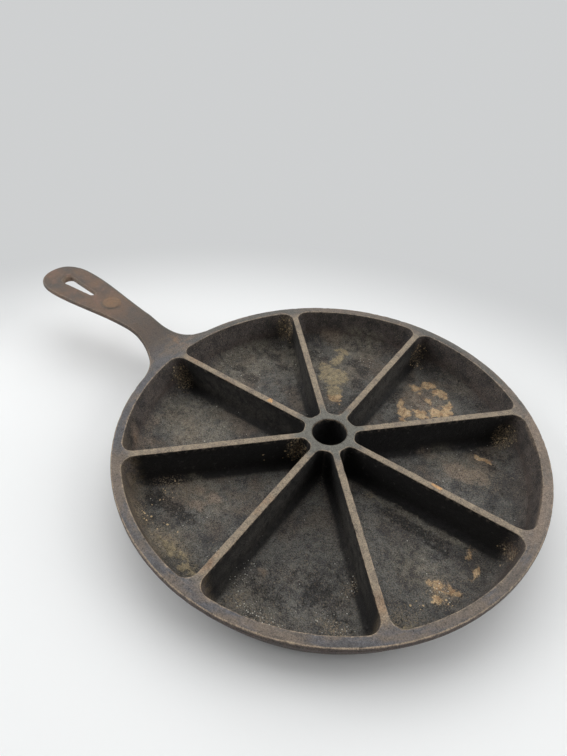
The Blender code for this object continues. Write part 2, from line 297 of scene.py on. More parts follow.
# Half of the handle's outline from above, from the rim to the tip
def handleOutline():
    angle = grip["rootAngle"]
    neckHalf = grip["neckWidth"] / 2
    fillet = (math.sin(angle) * rimRadius - neckHalf) / (1 - math.sin(angle))
    neckX = (rimRadius + fillet) * math.cos(angle)
    side = neckHalf + fillet
    line = arcPoints(neckX, side, fillet, angle + math.pi, math.pi * 1.5, grip["rootSteps"])
    broadest = tipX - grip["tipLength"]
    half = grip["width"] / 2
    for k in range(1, grip["gripSteps"] + 1):
        share = k / grip["gripSteps"]
        line.append((mix(neckX, broadest, share), mix(neckHalf, half, eased(share))))
    power = 2 / grip["tipFullness"]
    cap, steps, rows = grip["capTurn"], grip["tipSteps"], grip["rows"]
    turns = [cap * k / steps for k in range(1, steps + 1)]
    turns += [mix(cap, math.pi / 2, k / rows) for k in range(1, rows + 1)]
    for turn in turns:
        x = broadest + grip["tipLength"] * math.sin(turn) ** power
        line.append((x, half * max(math.cos(turn), 0.0) ** power))
    return line


def insetOutline(line):
    # the flat top's edge, inside the rounded edge of the rim or the handle
    made = []
    for k, (x, y) in enumerate(line):
        before = line[max(k - 1, 0)]
        after = line[k + 1] if k + 1 < len(line) else (line[-2][0], -line[-2][1])
        along = Vector((after[0] - before[0], after[1] - before[1])).normalized()
        inward = Vector((along.y, -along.x))
        if k == 0:
            inward = Vector((-math.cos(grip["rootAngle"]), -math.sin(grip["rootAngle"])))
        reach = mix(pan["lipRound"], grip["edgeReach"], rootShare(k))
        made.append((x + inward.x * reach, y + inward.y * reach))
    return made


def rootShare(station):
    # 0 on the rim, 1 where the handle has its own edge
    return eased(station / grip["rootSteps"])


# Bmesh helpers: every ring keeps its order in a whole-number layer
def ringEdges(shape, ring, closed=True):
    pairs = list(zip(ring, ring[1:]))
    if closed:
        pairs.append((ring[-1], ring[0]))
    return [shape.edges.get(pair) for pair in pairs]


def growRing(shape, ring, points, closed=True, **marks):
    order = shape.verts.layers.int["order"]
    for k, vert in enumerate(ring):
        vert[order] = k
    made = bmesh.ops.extrude_edge_only(shape, edges=ringEdges(shape, ring, closed))
    grown = [item for item in made["geom"] if isinstance(item, bmesh.types.BMVert)]
    grown.sort(key=lambda vert: vert[order])
    for vert, point in zip(grown, points):
        vert.co = point
    setMarks(shape, grown, **marks)
    return grown


def setMarks(shape, verts, **marks):
    for name, value in marks.items():
        layer = shape.verts.layers.float[name]
        for vert in verts:
            vert[layer] = value


def atHeight(line, height):
    return [(x, y, height) for x, y in line]


def openEdges(shape):
    return [edge for edge in shape.edges if edge.is_boundary]


def byAngle(verts):
    return sorted(verts, key=lambda vert: math.atan2(vert.co.y, vert.co.x))


def pocketCell(shape):
    # the flat strip on top, the worn edge, the walls, the fillet and the floor of one pocket
    cell = cellLine()
    top = pocketLine(rimTop)
    made = bmesh.ops.create_circle(shape, cap_ends=False, segments=len(cell), radius=rimRadius)
    ring = made["verts"]
    for vert, point in zip(ring, atHeight(cell, rimTop)):
        vert.co = point
    setMarks(shape, ring, tops=1.0)
    between = [(mix(a[0], b[0], 0.5), mix(a[1], b[1], 0.5)) for a, b in zip(cell, top)]
    ring = growRing(shape, ring, atHeight(between, rimTop))
    ring = growRing(shape, ring, atHeight(top, rimTop), wear=0.7)
    edge = pocket["edgeRound"]
    for turn, wear, tops in pocket["edgeTurns"]:
        height = rimTop - fallen(edge, turn)
        ring = growRing(shape, ring, atHeight(pocketLine(height), height), wear=wear, tops=tops)
    wallFoot = pan["floor"] + pocket["wallFillet"]
    for k in range(1, pocket["wallRings"]):
        share = (k / pocket["wallRings"]) ** pocket["wallSpacing"]
        height = mix(rimTop - edge, wallFoot, share)
        wear = pocket["wallWear"] if k == 1 else 0.0
        ring = growRing(shape, ring, atHeight(pocketLine(height), height), wear=wear, tops=0.0)
    for k in range(pocket["filletRings"] + 1):
        share = k / pocket["filletRings"]
        height = pan["floor"] + pocket["wallFillet"] * (1 - math.sin(math.pi / 2 * share))
        line = pocketLine(height)
        hollow = eased(share * pocket["filletHollow"])
        ring = growRing(shape, ring, atHeight(line, height), hollow=hollow, pocketFloor=eased(share))
    middle = pocket["floorMiddle"]
    hollow, falling = pocket["floorHollow"]
    for k in range(1, pocket["floorRings"] + 1):
        share = 1 - (k / (pocket["floorRings"] + 1)) ** pocket["floorSpacing"]
        spots = [(mix(middle, x, share), y * share, pan["floor"]) for x, y in line]
        here = max(0.0, hollow - k * falling)
        ring = growRing(shape, ring, spots, hollow=here, pocketFloor=1.0)
    share = pocket["closing"]
    spots = [(mix(middle, x, share), y * share, pan["floor"]) for x, y in line]
    ring = growRing(shape, ring, spots)
    bmesh.ops.pointmerge(shape, verts=ring, merge_co=(middle, 0.0, pan["floor"]))


def openPatch(shape, columns, start, end, rows, spots):
    # deletes a block of the handle's top and lays the opening's edge on the given closed line
    centre = grip["rows"]
    inside = set()
    for station in range(start, end + 1):
        inside.update(columns[station][centre - rows : centre + rows + 1])
    faces = [face for face in shape.faces if all(vert in inside for vert in face.verts)]
    upper = [columns[end][centre + k] for k in range(rows + 1)]
    upper += [columns[station][centre + rows] for station in range(end - 1, start - 1, -1)]
    upper += [columns[start][centre + k] for k in range(rows - 1, -1, -1)]
    lower = [columns[start][centre - k] for k in range(1, rows + 1)]
    lower += [columns[station][centre - rows] for station in range(start + 1, end + 1)]
    lower += [columns[end][centre - k] for k in range(rows - 1, 0, -1)]
    ring = upper + lower
    bmesh.ops.delete(shape, geom=faces, context="FACES")
    for vert, (x, y) in zip(ring, spots):
        vert.co.x = x
        vert.co.y = y
    return ring


def eyeLine(length, spread):
    # a teardrop with this many steps along each side and in half of each round end
    large = eye["width"] / 2
    small = eye["pointWidth"] / 2
    far = tipX - eye["toTip"] - large
    near = tipX - eye["toTip"] - eye["length"] + small
    lean = math.pi - math.acos((large - small) / (far - near))
    half = arcPoints(far, 0, large + spread, 0, lean, eye["rows"])
    nearArc = arcPoints(near, 0, small + spread, lean, math.pi, eye["rows"])
    start = half[-1]
    for k in range(1, length):
        share = k / length
        half.append((mix(start[0], nearArc[0][0], share), mix(start[1], nearArc[0][1], share)))
    return mirrored(half + nearArc)


def circleLine(x, radius, steps):
    return arcPoints(x, 0, radius, 0, 2 * math.pi, steps)[:-1]


def stationsBetween(spine, low, high):
    found = [k for k, x in enumerate(spine) if low < x < high]
    return found[0], found[-1]


def handlePatch(shape, root):
    # the handle's top, grown out of the rim's edge station by station
    outline = insetOutline(handleOutline())
    rows = grip["rows"]
    capStation = len(outline) - 1 - rows
    upper = [outline[len(outline) - 1 - k] for k in range(rows + 1)]
    cap = [(x, -y) for x, y in reversed(upper[1:])] + upper
    tipStart = capStation - grip["tipSteps"]
    rootHalf = outline[0][1]
    columns = [root]
    for station in range(1, capStation + 1):
        x, half = outline[station]
        rootFade = 1 - rootShare(station)
        tipFade = eased((station - tipStart) / (capStation - tipStart))
        spots = []
        for k in range(-rows, rows + 1):
            share = k / rows
            start = root[k + rows].co
            end = cap[k + rows]
            across = mix(share, start.y / rootHalf, rootFade)
            across = mix(across, end[1] / cap[-1][1], tipFade)
            bulge = (start.x - root[-1].co.x) * rootFade + (end[0] - cap[-1][0]) * tipFade
            spots.append((x + bulge, half * across, rimTop))
        columns.append(growRing(shape, columns[-1], spots, closed=False, wear=0.0))
    number = shape.verts.layers.int["station"]
    row = shape.verts.layers.int["row"]
    for station, column in enumerate(columns):
        for k, vert in enumerate(column):
            vert[number] = station
            vert[row] = k - rows
    return columns


def addEye(shape, columns, spine):
    high = tipX - eye["toTip"] + eye["flare"]
    low = tipX - eye["toTip"] - eye["length"] - eye["flare"]
    start, end = stationsBetween(spine, low, high)
    length = end - start
    ring = openPatch(shape, columns, start, end, eye["rows"], eyeLine(length, eye["flare"]))
    return ring, length


def addBoss(shape, columns, spine):
    x = tipX - eye["toTip"] - eye["length"] - boss["toEye"]
    start, end = stationsBetween(spine, x - boss["clearing"], x + boss["clearing"])
    steps = 2 * (end - start) + 4 * boss["rows"]
    foot = openPatch(shape, columns, start, end, boss["rows"], circleLine(x, boss["foot"], steps))
    ring = foot
    lift = shape.verts.layers.float["lift"]
    for size, height in boss["rings"]:
        spots = atHeight(circleLine(x, boss["radius"] * size, steps), rimTop)
        wear = 0.3 if 0.1 < height < 0.95 else 0.0
        ring = growRing(shape, ring, spots, lift=height, wear=wear)
    ring = growRing(shape, ring, spots)
    bmesh.ops.pointmerge(shape, verts=ring, merge_co=(x, 0.0, rimTop))
    middle = min(shape.verts, key=lambda vert: (vert.co - Vector((x, 0.0, rimTop))).length)
    middle[lift] = 1.0
    return foot


def relaxPatch(shape, columns, held):
    # evens out the mesh round the eye and the boss, seen from above only
    held = set(held)
    loose = []
    for column in columns[grip["rootSteps"] : -1]:
        loose += [vert for vert in column[1:-1] if vert.is_valid and vert not in held]
    flat = {"use_axis_x": True, "use_axis_y": True, "use_axis_z": False}
    for k in range(grip["relaxRounds"]):
        bmesh.ops.smooth_vert(shape, verts=loose, factor=0.5, **flat)


# The lip from its flat top round to its lower edge: outwards and down in lip rounds, and wear
rimEdge = [
    (0.00, 0.00, 0.5), (0.38, 0.08, 1.0), (0.71, 0.29, 1.0), (0.92, 0.62, 0.6), (1.00, 1.00, 0.3),
    (1.00, 1.50, 0.1), (0.97, 1.86, 0.0), (0.70, 2.06, 0.0), (0.93, 2.30, 0.25), (0.97, 2.80, 0.2),
    (0.96, 3.70, 0.2), (0.88, 4.08, 0.4), (0.68, 4.41, 0.2), (0.36, 4.63, 0.0), (0.00, 4.70, 0.0),
]


def edgePoint(step, share):
    out, down = rimEdge[step][:2]
    scale = pan["lipRound"]
    turn = math.pi * step / (len(rimEdge) - 1)
    gripOut = grip["edgeReach"] * math.sin(turn)
    gripDown = grip["edge"] / 2 * (1 - math.cos(turn))
    return mix(out * scale, gripOut, share), mix(down * scale, gripDown, share)


def outwards(ring):
    made = []
    for k in range(len(ring)):
        along = ring[(k + 1) % len(ring)].co - ring[k - 1].co
        made.append(Vector((along.y, -along.x, 0.0)).normalized())
    return made


def underside(shape, faces):
    # a copy of the handle's top, turned over and moved down, which ends on the pan's wall
    made = bmesh.ops.duplicate(shape, geom=faces)
    lowFaces = [item for item in made["geom"] if isinstance(item, bmesh.types.BMFace)]
    lowVerts = [item for item in made["geom"] if isinstance(item, bmesh.types.BMVert)]
    bmesh.ops.reverse_faces(shape, faces=lowFaces)
    number = shape.verts.layers.int["station"]
    row = shape.verts.layers.int["row"]
    capStation = max(vert[number] for vert in lowVerts)
    last = grip["landing"]
    landing = {vert[row]: vert.co.copy() for vert in lowVerts if vert[number] == last}
    for vert in lowVerts:
        station = vert[number]
        across = abs(vert[row]) / grip["rows"]
        share = rootShare(station)
        full = bellyShare(station, vert[row], capStation)
        fillet = grip["rootFillet"] * math.sqrt(max(math.cos(math.pi / 2 * across), 0.0))
        if station < last and across < 1:
            angle = grip["rootAngle"] * vert[row] / grip["rows"]
            height = underHeight(rimRadius, share, full) - fillet
            radius = outerRadius(height)
            foot = Vector(polar(radius, angle, 0.0))
            far = landing[vert[row]]
            spot = foot.lerp(far, (station / last) ** 1.4)
            reach = math.hypot(spot.x - foot.x, spot.y - foot.y)
            drop = rounded(fillet, reach) if fillet > 0 else 0.0
            vert.co = (spot.x, spot.y, underHeight(spot.x, share, full) - drop)
        else:
            vert.co.z = underHeight(vert.co.x, share, full)
    setMarks(shape, lowVerts, lift=0.0, wear=0.0, tops=0.0)
    return lowVerts


def bellyShare(station, row, capStation):
    # 1 along the middle of the lower side, 0 at its edges and at the tip
    fading = eased((capStation - station) / grip["bellyFade"])
    return math.cos(math.pi / 2 * row / grip["rows"]) ** 2 * fading


def underHeight(x, share, full):
    thinning = eased((x - rimRadius) / grip["thinningReach"])
    middle = mix(grip["rootThickness"], grip["thickness"], thinning)
    edge = mix(pan["lipHeight"], grip["edge"], share)
    return handleTop(x) - edge - max(middle - edge, 0.0) * full


def liftPatch(shape, faces):
    lift = shape.verts.layers.float["lift"]
    for vert in {vert for face in faces for vert in face.verts}:
        vert.co.z = handleTop(vert.co.x) + boss["height"] * vert[lift]


def addEdges(shape, loop, shares):
    # the rounded edge all round the rim and the handle
    base = [vert.co.copy() for vert in loop]
    directions = outwards(loop)
    ring = loop
    setMarks(shape, ring, wear=rimEdge[0][2])
    for step in range(1, len(rimEdge)):
        spots = []
        for point, direction, share in zip(base, directions, shares):
            out, down = edgePoint(step, share)
            spots.append((point.x + direction.x * out, point.y + direction.y * out, point.z - down))
        tops = max(0.0, 1 - step * 0.25)
        ring = growRing(shape, ring, spots, wear=rimEdge[step][2], tops=tops)
    return ring


def sewTogether(shape, verts, distance=sewing["close"]):
    bmesh.ops.remove_doubles(shape, verts=list(verts), dist=distance)


def slimLowerEye(shape, verts, length):
    # underneath, the eye is only as wide as its rounded lower edge, and as worn
    wide = [Vector((x, y)) for x, y in eyeLine(length, eye["flare"])]
    slim = eyeLine(length, eye["lowerRound"])
    for vert in verts:
        aways = [(vert.co.xy - point).length for point in wide]
        nearest = min(range(len(wide)), key=lambda k: aways[k])
        if aways[nearest] < sewing["same"]:
            vert.co.x, vert.co.y = slim[nearest]
            setMarks(shape, [vert], wear=eye["lowerWear"])


def eyeWall(shape, ring, length, capStation):
    # dished from the handle's top, steepening down to its narrowest line, rounded over underneath
    number = shape.verts.layers.int["station"]
    row = shape.verts.layers.int["row"]
    heights = []
    for vert in ring:
        full = bellyShare(vert[number], vert[row], capStation)
        heights.append((vert.co.z, underHeight(vert.co.x, 1.0, full)))
    for k in range(1, eye["dishSteps"] + 1):
        share = k / eye["dishSteps"]
        line = eyeLine(length, eye["flare"] * (1 - share) ** 2)
        spots = [(x, y, top - eye["dish"] * share) for (x, y), (top, low) in zip(line, heights)]
        # the dish's rings are marked fully worn, which paints them in the paler crest colour: a painted
        # highlight on the dish
        ring = growRing(shape, ring, spots, wear=1.0, tops=1 - share)
    edge = eye["lowerRound"]
    for turn in (90, 60, 30, 0):
        line = eyeLine(length, standing(edge, turn))
        spots = [(x, y, low + fallen(edge, turn)) for (x, y), (top, low) in zip(line, heights)]
        ring = growRing(shape, ring, spots, wear=eye["lowerWear"], tops=0.0)
    return ring


def buildCasting():
    shape = bmesh.new()
    for name in ("order", "station", "row"):
        shape.verts.layers.int.new(name)
    for name in ("wear", "hollow", "pocketFloor", "tops", "dividerTop", "dividerSide", "lift"):
        shape.verts.layers.float.new(name)
    print("skillet: one pocket")
    pocketCell(shape)
    whole = shape.verts[:] + shape.edges[:] + shape.faces[:]
    turned = Matrix.Rotation(halfPocket, 3, "Z")
    bmesh.ops.rotate(shape, cent=(0, 0, 0), matrix=turned, verts=shape.verts)
    bmesh.ops.spin(
        shape,
        geom=whole,
        cent=(0, 0, 0),
        axis=(0, 0, 1),
        angle=2 * halfPocket * (pocket["count"] - 1),
        steps=pocket["count"] - 1,
        use_duplicate=True,
    )
    sewTogether(shape, shape.verts)
    boundary = {vert for edge in openEdges(shape) for vert in edge.verts}
    boreRing = byAngle([vert for vert in boundary if vert.co.length < hubRadius * 2.2])
    rimRing = byAngle([vert for vert in boundary if vert.co.length > pocketRadius])
    print("skillet: rings", len(boreRing), len(rimRing))

    print("skillet: handle")
    limit = grip["rootAngle"] + 0.001
    root = [vert for vert in rimRing if abs(math.atan2(vert.co.y, vert.co.x)) < limit]
    before = set(shape.faces)
    columns = handlePatch(shape, root)
    spine = [column[grip["rows"]].co.x for column in columns]
    eyeRing, eyeLength = addEye(shape, columns, spine)
    bossRing = addBoss(shape, columns, spine)
    relaxPatch(shape, columns, eyeRing + bossRing)
    faces = [face for face in shape.faces if face not in before]
    liftPatch(shape, faces)
    lowVerts = underside(shape, faces)

    print("skillet: edges and eye")
    cap = len(columns) - 1
    loop = [vert for vert in rimRing if vert not in set(root[1:-1])]
    upper = [vert for vert in loop if vert.co.y > 0]
    lower = [vert for vert in loop if vert.co.y <= 0]
    loop = upper + lower  # from the root's upper end, round the pan, to its lower end
    shares = [0.0] * len(loop)
    loop += [column[0] for column in columns[1:cap]]
    shares += [rootShare(k) for k in range(1, cap)]
    loop += columns[cap]
    shares += [1.0] * len(columns[cap])
    loop += [column[-1] for column in reversed(columns[1:cap])]
    shares += [rootShare(k) for k in range(cap - 1, 0, -1)]
    rimCount = len(upper) + len(lower)
    lastRing = addEdges(shape, loop, shares)
    eyeLow = eyeWall(shape, eyeRing, eyeLength, cap)
    rimLow = lastRing[:rimCount]
    handleLowRing = lastRing[rimCount:] + [rimLow[0], rimLow[-1]]
    openLow = {vert for edge in openEdges(shape) for vert in edge.verts}
    seam = [vert for vert in lowVerts if vert in openLow]
    slimLowerEye(shape, seam, eyeLength)
    sewTogether(shape, seam + handleLowRing + eyeLow, sewing["seam"])
    print("skillet: open edges after sewing", len(openEdges(shape)))

    print("skillet: wall, base and bore")
    boundary = {vert for edge in openEdges(shape) for vert in edge.verts}
    ring = byAngle([vert for vert in boundary if vert.co.xy.length > hubRadius * 2])
    starts = [(math.atan2(v.co.y, v.co.x), math.hypot(v.co.x, v.co.y), v.co.z) for v in ring]
    for drop, keep in pan["underLip"]:
        spots = []
        for angle, radius, height in starts:
            out = outerRadius(height - drop) + keep * (radius - outerRadius(height))
            spots.append(polar(out, angle, height - drop))
        ring = growRing(shape, ring, spots, wear=0.0)
    for k in range(1, pan["wallSteps"] + 1):
        share = 1 - math.sin(math.pi / 2 * k / pan["wallSteps"])
        lows = [(angle, (height - drop) * share) for angle, radius, height in starts]
        spots = [polar(outerRadius(low), angle, low) for angle, low in lows]
        ring = growRing(shape, ring, spots, wear=0.0)
    for radius in pan["baseRings"]:
        ring = growRing(shape, ring, [polar(radius, start[0], 0.0) for start in starts])

    bore = boreRing
    boreAngles = [math.atan2(vert.co.y, vert.co.x) for vert in bore]
    steps = []
    edge = pan["boreRound"]
    for turn in (30, 60, 90):
        out = pan["boreRadius"] + standing(edge, turn)
        steps.append((out, rimTop - fallen(edge, turn), 0.9))
    for k in range(1, pan["boreSteps"]):
        steps.append((pan["boreRadius"], mix(rimTop - edge, edge, k / pan["boreSteps"]), 0.0))
    for turn in (90, 45, 0):
        steps.append((pan["boreRadius"] + standing(edge, turn), fallen(edge, turn), 0.4))
    for radius, height, wear in steps:
        spots = [polar(radius, angle, height) for angle in boreAngles]
        bore = growRing(shape, bore, spots, wear=wear, tops=0.0)
    edges = ringEdges(shape, ring) + ringEdges(shape, bore)
    bmesh.ops.bridge_loops(shape, edges=edges)
    bmesh.ops.recalc_face_normals(shape, faces=shape.faces)
    loose = [edge for edge in shape.edges if not edge.is_manifold]
    print("skillet: faces", len(shape.faces), "open or doubled edges", len(loose))
    return shape


# How far the surface is worn and uneven, always inwards, so that the outline keeps its size
unevenness = {
    "floorWaves": 0.00030,
    "floorScabs": 0.00016,
    "wallWaves": 0.00034,
    "topWaves": 0.00012,
    "topNicks": 0.00038,
    "nickLevel": 0.20,
    "nickSteepness": 1.6,
    "scabScale": 0.30,
    "scabLayers": (0.7, 2.1, 3),
    "scabSteepness": 2.0,
    "scabMost": 1.4,
    "flatBase": 0.0015,  # up to this height the wall's base stays flat
    "topMix": {"middle": 0.6, "small": 0.4},
    "floorMix": {"broad": 0.65, "middle": 0.35},
    "wallMix": {"broad": 0.5, "middle": 0.3, "small": 0.2},
}

# Noises over the casting, in millimetres: scale, shift
castNoises = {
    "broad": (0.055, (0, 0, 0)),
    "middle": (0.19, (31, 7, 3)),
    "small": (0.52, (5, 41, 17)),
    "nicks": (0.33, (11, 3, 23)),
}

# Where the dividers' marks start and end along them, and how far they reach aside
dividerMarks = {
    "topAlong": (0.017, 0.024, 0.112, 0.104),
    "topAside": (0.0042, 0.0026),
    "sideAlong": (0.1095, 0.1015),
    "sideAside": (0.0066, 0.0042),
}


def easedBetween(value, start, end):
    return eased((value - start) / (end - start))


def markDividers(shape):
    # the dividers' tops are worn paler than the rim and the hub, and their sides are black with soot
    layers = shape.verts.layers.float
    for vert in shape.verts:
        reach = math.hypot(vert.co.x, vert.co.y)
        if reach > pocketRadius or vert.co.z < pan["floor"] - 0.0001:
            continue
        turn = math.atan2(vert.co.y, vert.co.x) / (2 * halfPocket)
        aside = reach * abs(math.sin((turn - round(turn)) * 2 * halfPocket))
        if vert[layers["tops"]] > 0:
            ends = dividerMarks["topAlong"]
            along = easedBetween(reach, *ends[:2]) * easedBetween(reach, *ends[2:])
            vert[layers["dividerTop"]] = along * easedBetween(aside, *dividerMarks["topAside"])
        if vert[layers["tops"]] < 0.5:
            along = easedBetween(reach, *dividerMarks["sideAlong"])
            vert[layers["dividerSide"]] = along * easedBetween(aside, *dividerMarks["sideAside"])


def castNoise(spot, name):
    scale, shift = castNoises[name]
    return noise.noise(spot * scale + Vector(shift))


def waves(spot, mixName):
    shares = unevenness[mixName]
    return sum(share * (0.5 + 0.5 * castNoise(spot, name)) for name, share in shares.items())


def roughen(shape):
    layers = shape.verts.layers.float
    shape.normal_update()
    moves = []
    for vert in shape.verts:
        spot = vert.co * 1000
        wear = vert[layers["wear"]]
        if vert[layers["tops"]] > 0.05 or wear > 0.05:
            depth = unevenness["topWaves"] * waves(spot, "topMix")
            nick = max(0.0, castNoise(spot, "nicks") - unevenness["nickLevel"])
            depth += unevenness["topNicks"] * nick * wear * unevenness["nickSteepness"]
        elif vert[layers["pocketFloor"]] > 0.02:
            scabs = noise.fractal(spot * unevenness["scabScale"], *unevenness["scabLayers"])
            scabs = max(0.0, scabs) * unevenness["scabSteepness"]
            depth = unevenness["floorWaves"] * waves(spot, "floorMix")
            depth += unevenness["floorScabs"] * min(scabs, unevenness["scabMost"])
        elif vert.co.z > unevenness["flatBase"]:
            depth = unevenness["wallWaves"] * waves(spot, "wallMix")
        else:
            depth = 0.0
        moves.append(vert.normal * -depth)
    for vert, move in zip(shape.verts, moves):
        vert.co += move


def meshObject(name, shape):
    mesh = bpy.data.meshes.new(name)
    shape.to_mesh(mesh)
    shape.free()
    made = bpy.data.objects.new(name, mesh)
    bpy.context.scene.collection.objects.link(made)
    return made


def placeCasting(shape):
    for name in ("order", "station", "row"):
        shape.verts.layers.int.remove(shape.verts.layers.int[name])
    bmesh.ops.translate(shape, vec=(panX, 0.0, 0.0), verts=shape.verts)
    made = meshObject("skilletCasting", shape)
    made.data.shade_smooth()
    return made


# Node helpers: a value in links is either another node's socket or a plain number
def put(tree, kind, links=None, **settings):
    made = tree.nodes.new("ShaderNode" + kind)
    for name, value in settings.items():
        setattr(made, name, value)
    for name, value in (links or {}).items():
        if isinstance(value, bpy.types.NodeSocket):
            tree.links.new(value, made.inputs[name])
        else:
            made.inputs[name].default_value = value
    return made


def calc(tree, operation, a, b=0.0, clamp=False):
    return put(tree, "Math", {0: a, 1: b}, operation=operation, use_clamp=clamp).outputs[0]


def times(tree, value, *others):
    for other in others:
        value = calc(tree, "MULTIPLY", value, other)
    return value


def largest(tree, value, *others):
    for other in others:
        value = calc(tree, "MAXIMUM", value, other)
    return value


def vectorCalc(tree, operation, *vectors, output=0):
    return put(tree, "VectorMath", dict(enumerate(vectors)), operation=operation).outputs[output]


def ramp(tree, value, low, high, start=0.0, end=1.0):
    links = {"Value": value, "From Min": low, "From Max": high, "To Min": start, "To Max": end}
    return put(tree, "MapRange", links, interpolation_type="SMOOTHSTEP").outputs[0]


def tint(tree, share, under, over, blend="MIX"):
    links = {0: share, 6: under, 7: over}
    return put(tree, "Mix", links, data_type="RGBA", blend_type=blend).outputs[2]


def noiseOf(tree, vector, scale, detail=3.0, roughness=0.55, output="Fac"):
    links = {"Vector": vector, "Scale": scale, "Detail": detail, "Roughness": roughness}
    return put(tree, "TexNoise", links).outputs[output]


def newGroup(name, inputs, outputs):
    # an input without a value is a vector
    tree = bpy.data.node_groups.new(name, "ShaderNodeTree")
    for label, value in inputs.items():
        kind = "NodeSocketVector" if value is None else "NodeSocketFloat"
        socket = tree.interface.new_socket(name=label, in_out="INPUT", socket_type=kind)
        if value is not None:
            socket.default_value = value
    for label in outputs:
        kind = "NodeSocketVector" if label == "Vector" else "NodeSocketFloat"
        tree.interface.new_socket(name=label, in_out="OUTPUT", socket_type=kind)
    start = tree.nodes.new("NodeGroupInput")
    end = tree.nodes.new("NodeGroupOutput")
    return tree, start.outputs, end.inputs


def useGroup(tree, group, **links):
    return put(tree, "Group", links, node_tree=group).outputs


# Noises of the surface, in millimetres: scale, detail, roughness
skinNoises = {
    "sand": (1.6, 2.5, 0.80),
    "lumps": (0.36, 4.0, 0.65),
    "pits": (0.62, 1.0, 0.5),
    "tears": (0.28, 5.0, 0.66),
    "dust": (1.25, 2.0, 0.70),
    "warp": (0.13, 4.0, 0.60),
}

# Sand-cast skin: fine sand and lumps, and pits where single grains broke away
sandSkin = {
    "pitLevels": (0.35, 0.27),
    "sandShade": 4.4,
    "lumpShade": 2.0,
    "pitShade": 0.5,
    "darkest": 0.22,
    "lumpHeight": 1.2,
    "pitDepth": 0.5,
}


def makeSandGrain():
    inputs = {"Vector": None, "Sand": skinNoises["sand"][0], "Contrast": 1.0}
    tree, given, result = newGroup("sandGrain", inputs, ("Shade", "Lumps", "Height"))
    sand = noiseOf(tree, given["Vector"], given["Sand"], *skinNoises["sand"][1:])
    lumps = noiseOf(tree, given["Vector"], *skinNoises["lumps"])
    holes = noiseOf(tree, given["Vector"], *skinNoises["pits"])
    pits = ramp(tree, holes, *sandSkin["pitLevels"])
    swing = times(tree, calc(tree, "SUBTRACT", sand, 0.5), sandSkin["sandShade"])
    lumpSwing = times(tree, calc(tree, "SUBTRACT", lumps, 0.5), sandSkin["lumpShade"])
    swing = calc(tree, "ADD", swing, lumpSwing)
    swing = calc(tree, "SUBTRACT", swing, times(tree, pits, sandSkin["pitShade"]))
    shade = calc(tree, "ADD", times(tree, swing, given["Contrast"]), 1.0)
    height = calc(tree, "ADD", sand, times(tree, lumps, sandSkin["lumpHeight"]))
    height = calc(tree, "SUBTRACT", height, times(tree, pits, sandSkin["pitDepth"]))
    tree.links.new(largest(tree, shade, sandSkin["darkest"]), result["Shade"])
    tree.links.new(lumps, result["Lumps"])
    tree.links.new(height, result["Height"])
    return tree


# Mottled patches between two levels of a noise
def makeMottle():
    inputs = {"Vector": None, "Scale": 0.1, "Detail": 4.0, "Low": 0.4, "High": 0.6}
    tree, given, result = newGroup("mottle", inputs, ("Mask",))
    value = noiseOf(tree, given["Vector"], given["Scale"], given["Detail"], 0.6)
    tree.links.new(ramp(tree, value, given["Low"], given["High"]), result["Mask"])
    return tree


# How deep a place lies inside a bloom: its strength at the centre, 0 on its outline
def makeBloom():
    inputs = {"Vector": None, "Centre": None, "Size": None, "Strength": 1.0}
    tree, given, result = newGroup("bloom", inputs, ("Depth",))
    away = vectorCalc(tree, "SUBTRACT", given["Vector"], given["Centre"])
    scaled = vectorCalc(tree, "DIVIDE", away, given["Size"])
    reach = vectorCalc(tree, "LENGTH", scaled, output="Value")
    depth = times(tree, calc(tree, "SUBTRACT", 1.0, reach), given["Strength"])
    tree.links.new(depth, result["Depth"])
    return tree


# A patch with a torn outline and holes, from the depth inside its blooms
def makeTornPatch():
    inputs = {"Vector": None, "Depth": 0.0, "Tearing": 1.5, "Softness": 0.16}
    tree, given, result = newGroup("tornPatch", inputs, ("Mask",))
    tears = calc(tree, "SUBTRACT", noiseOf(tree, given["Vector"], *skinNoises["tears"]), 0.5)
    depth = calc(tree, "ADD", given["Depth"], times(tree, tears, given["Tearing"]))
    tree.links.new(ramp(tree, depth, 0.0, given["Softness"]), result["Mask"])
    return tree


# Pale dust in the grain: fine specks that close up as the density rises
def makeDust():
    inputs = {"Vector": None, "Density": 0.3, "Closing": 0.13, "Low": 0.57, "High": 0.72}
    tree, given, result = newGroup("dust", inputs, ("Mask",))
    specks = noiseOf(tree, given["Vector"], *skinNoises["dust"])
    specks = calc(tree, "ADD", specks, times(tree, given["Density"], given["Closing"]))
    tree.links.new(ramp(tree, specks, given["Low"], given["High"]), result["Mask"])
    return tree


# Metal rubbed paler where an edge stands proud, broken up by the grain
def makeEdgeRub():
    inputs = {"Wear": 0.0, "Grain": 0.5, "Breakup": 0.5, "Low": 0.55, "High": 1.05}
    tree, given, result = newGroup("edgeRub", inputs, ("Mask",))
    rough = times(tree, calc(tree, "SUBTRACT", given["Grain"], 0.5), given["Breakup"])
    worn = calc(tree, "ADD", given["Wear"], rough)
    tree.links.new(ramp(tree, worn, given["Low"], given["High"]), result["Mask"])
    return tree


# Grains caught in the skin: few small cells, each with its own chance and size
def makeGrit():
    inputs = {"Vector": None, "Spacing": 0.8, "Share": 0.1, "Size": 0.3, "Least": 0.4, "Core": 0.6}
    tree, given, result = newGroup("grit", inputs, ("Mask",))
    cells = put(tree, "TexVoronoi", {"Vector": given["Vector"], "Scale": given["Spacing"]})
    chances = put(tree, "SeparateColor", {0: cells.outputs["Color"]}).outputs
    size = times(tree, given["Size"], calc(tree, "ADD", chances[0], given["Least"]))
    dot = ramp(tree, cells.outputs["Distance"], size, times(tree, size, given["Core"]))
    lucky = calc(tree, "LESS_THAN", chances[1], given["Share"])
    tree.links.new(times(tree, dot, lucky), result["Mask"])
    return tree


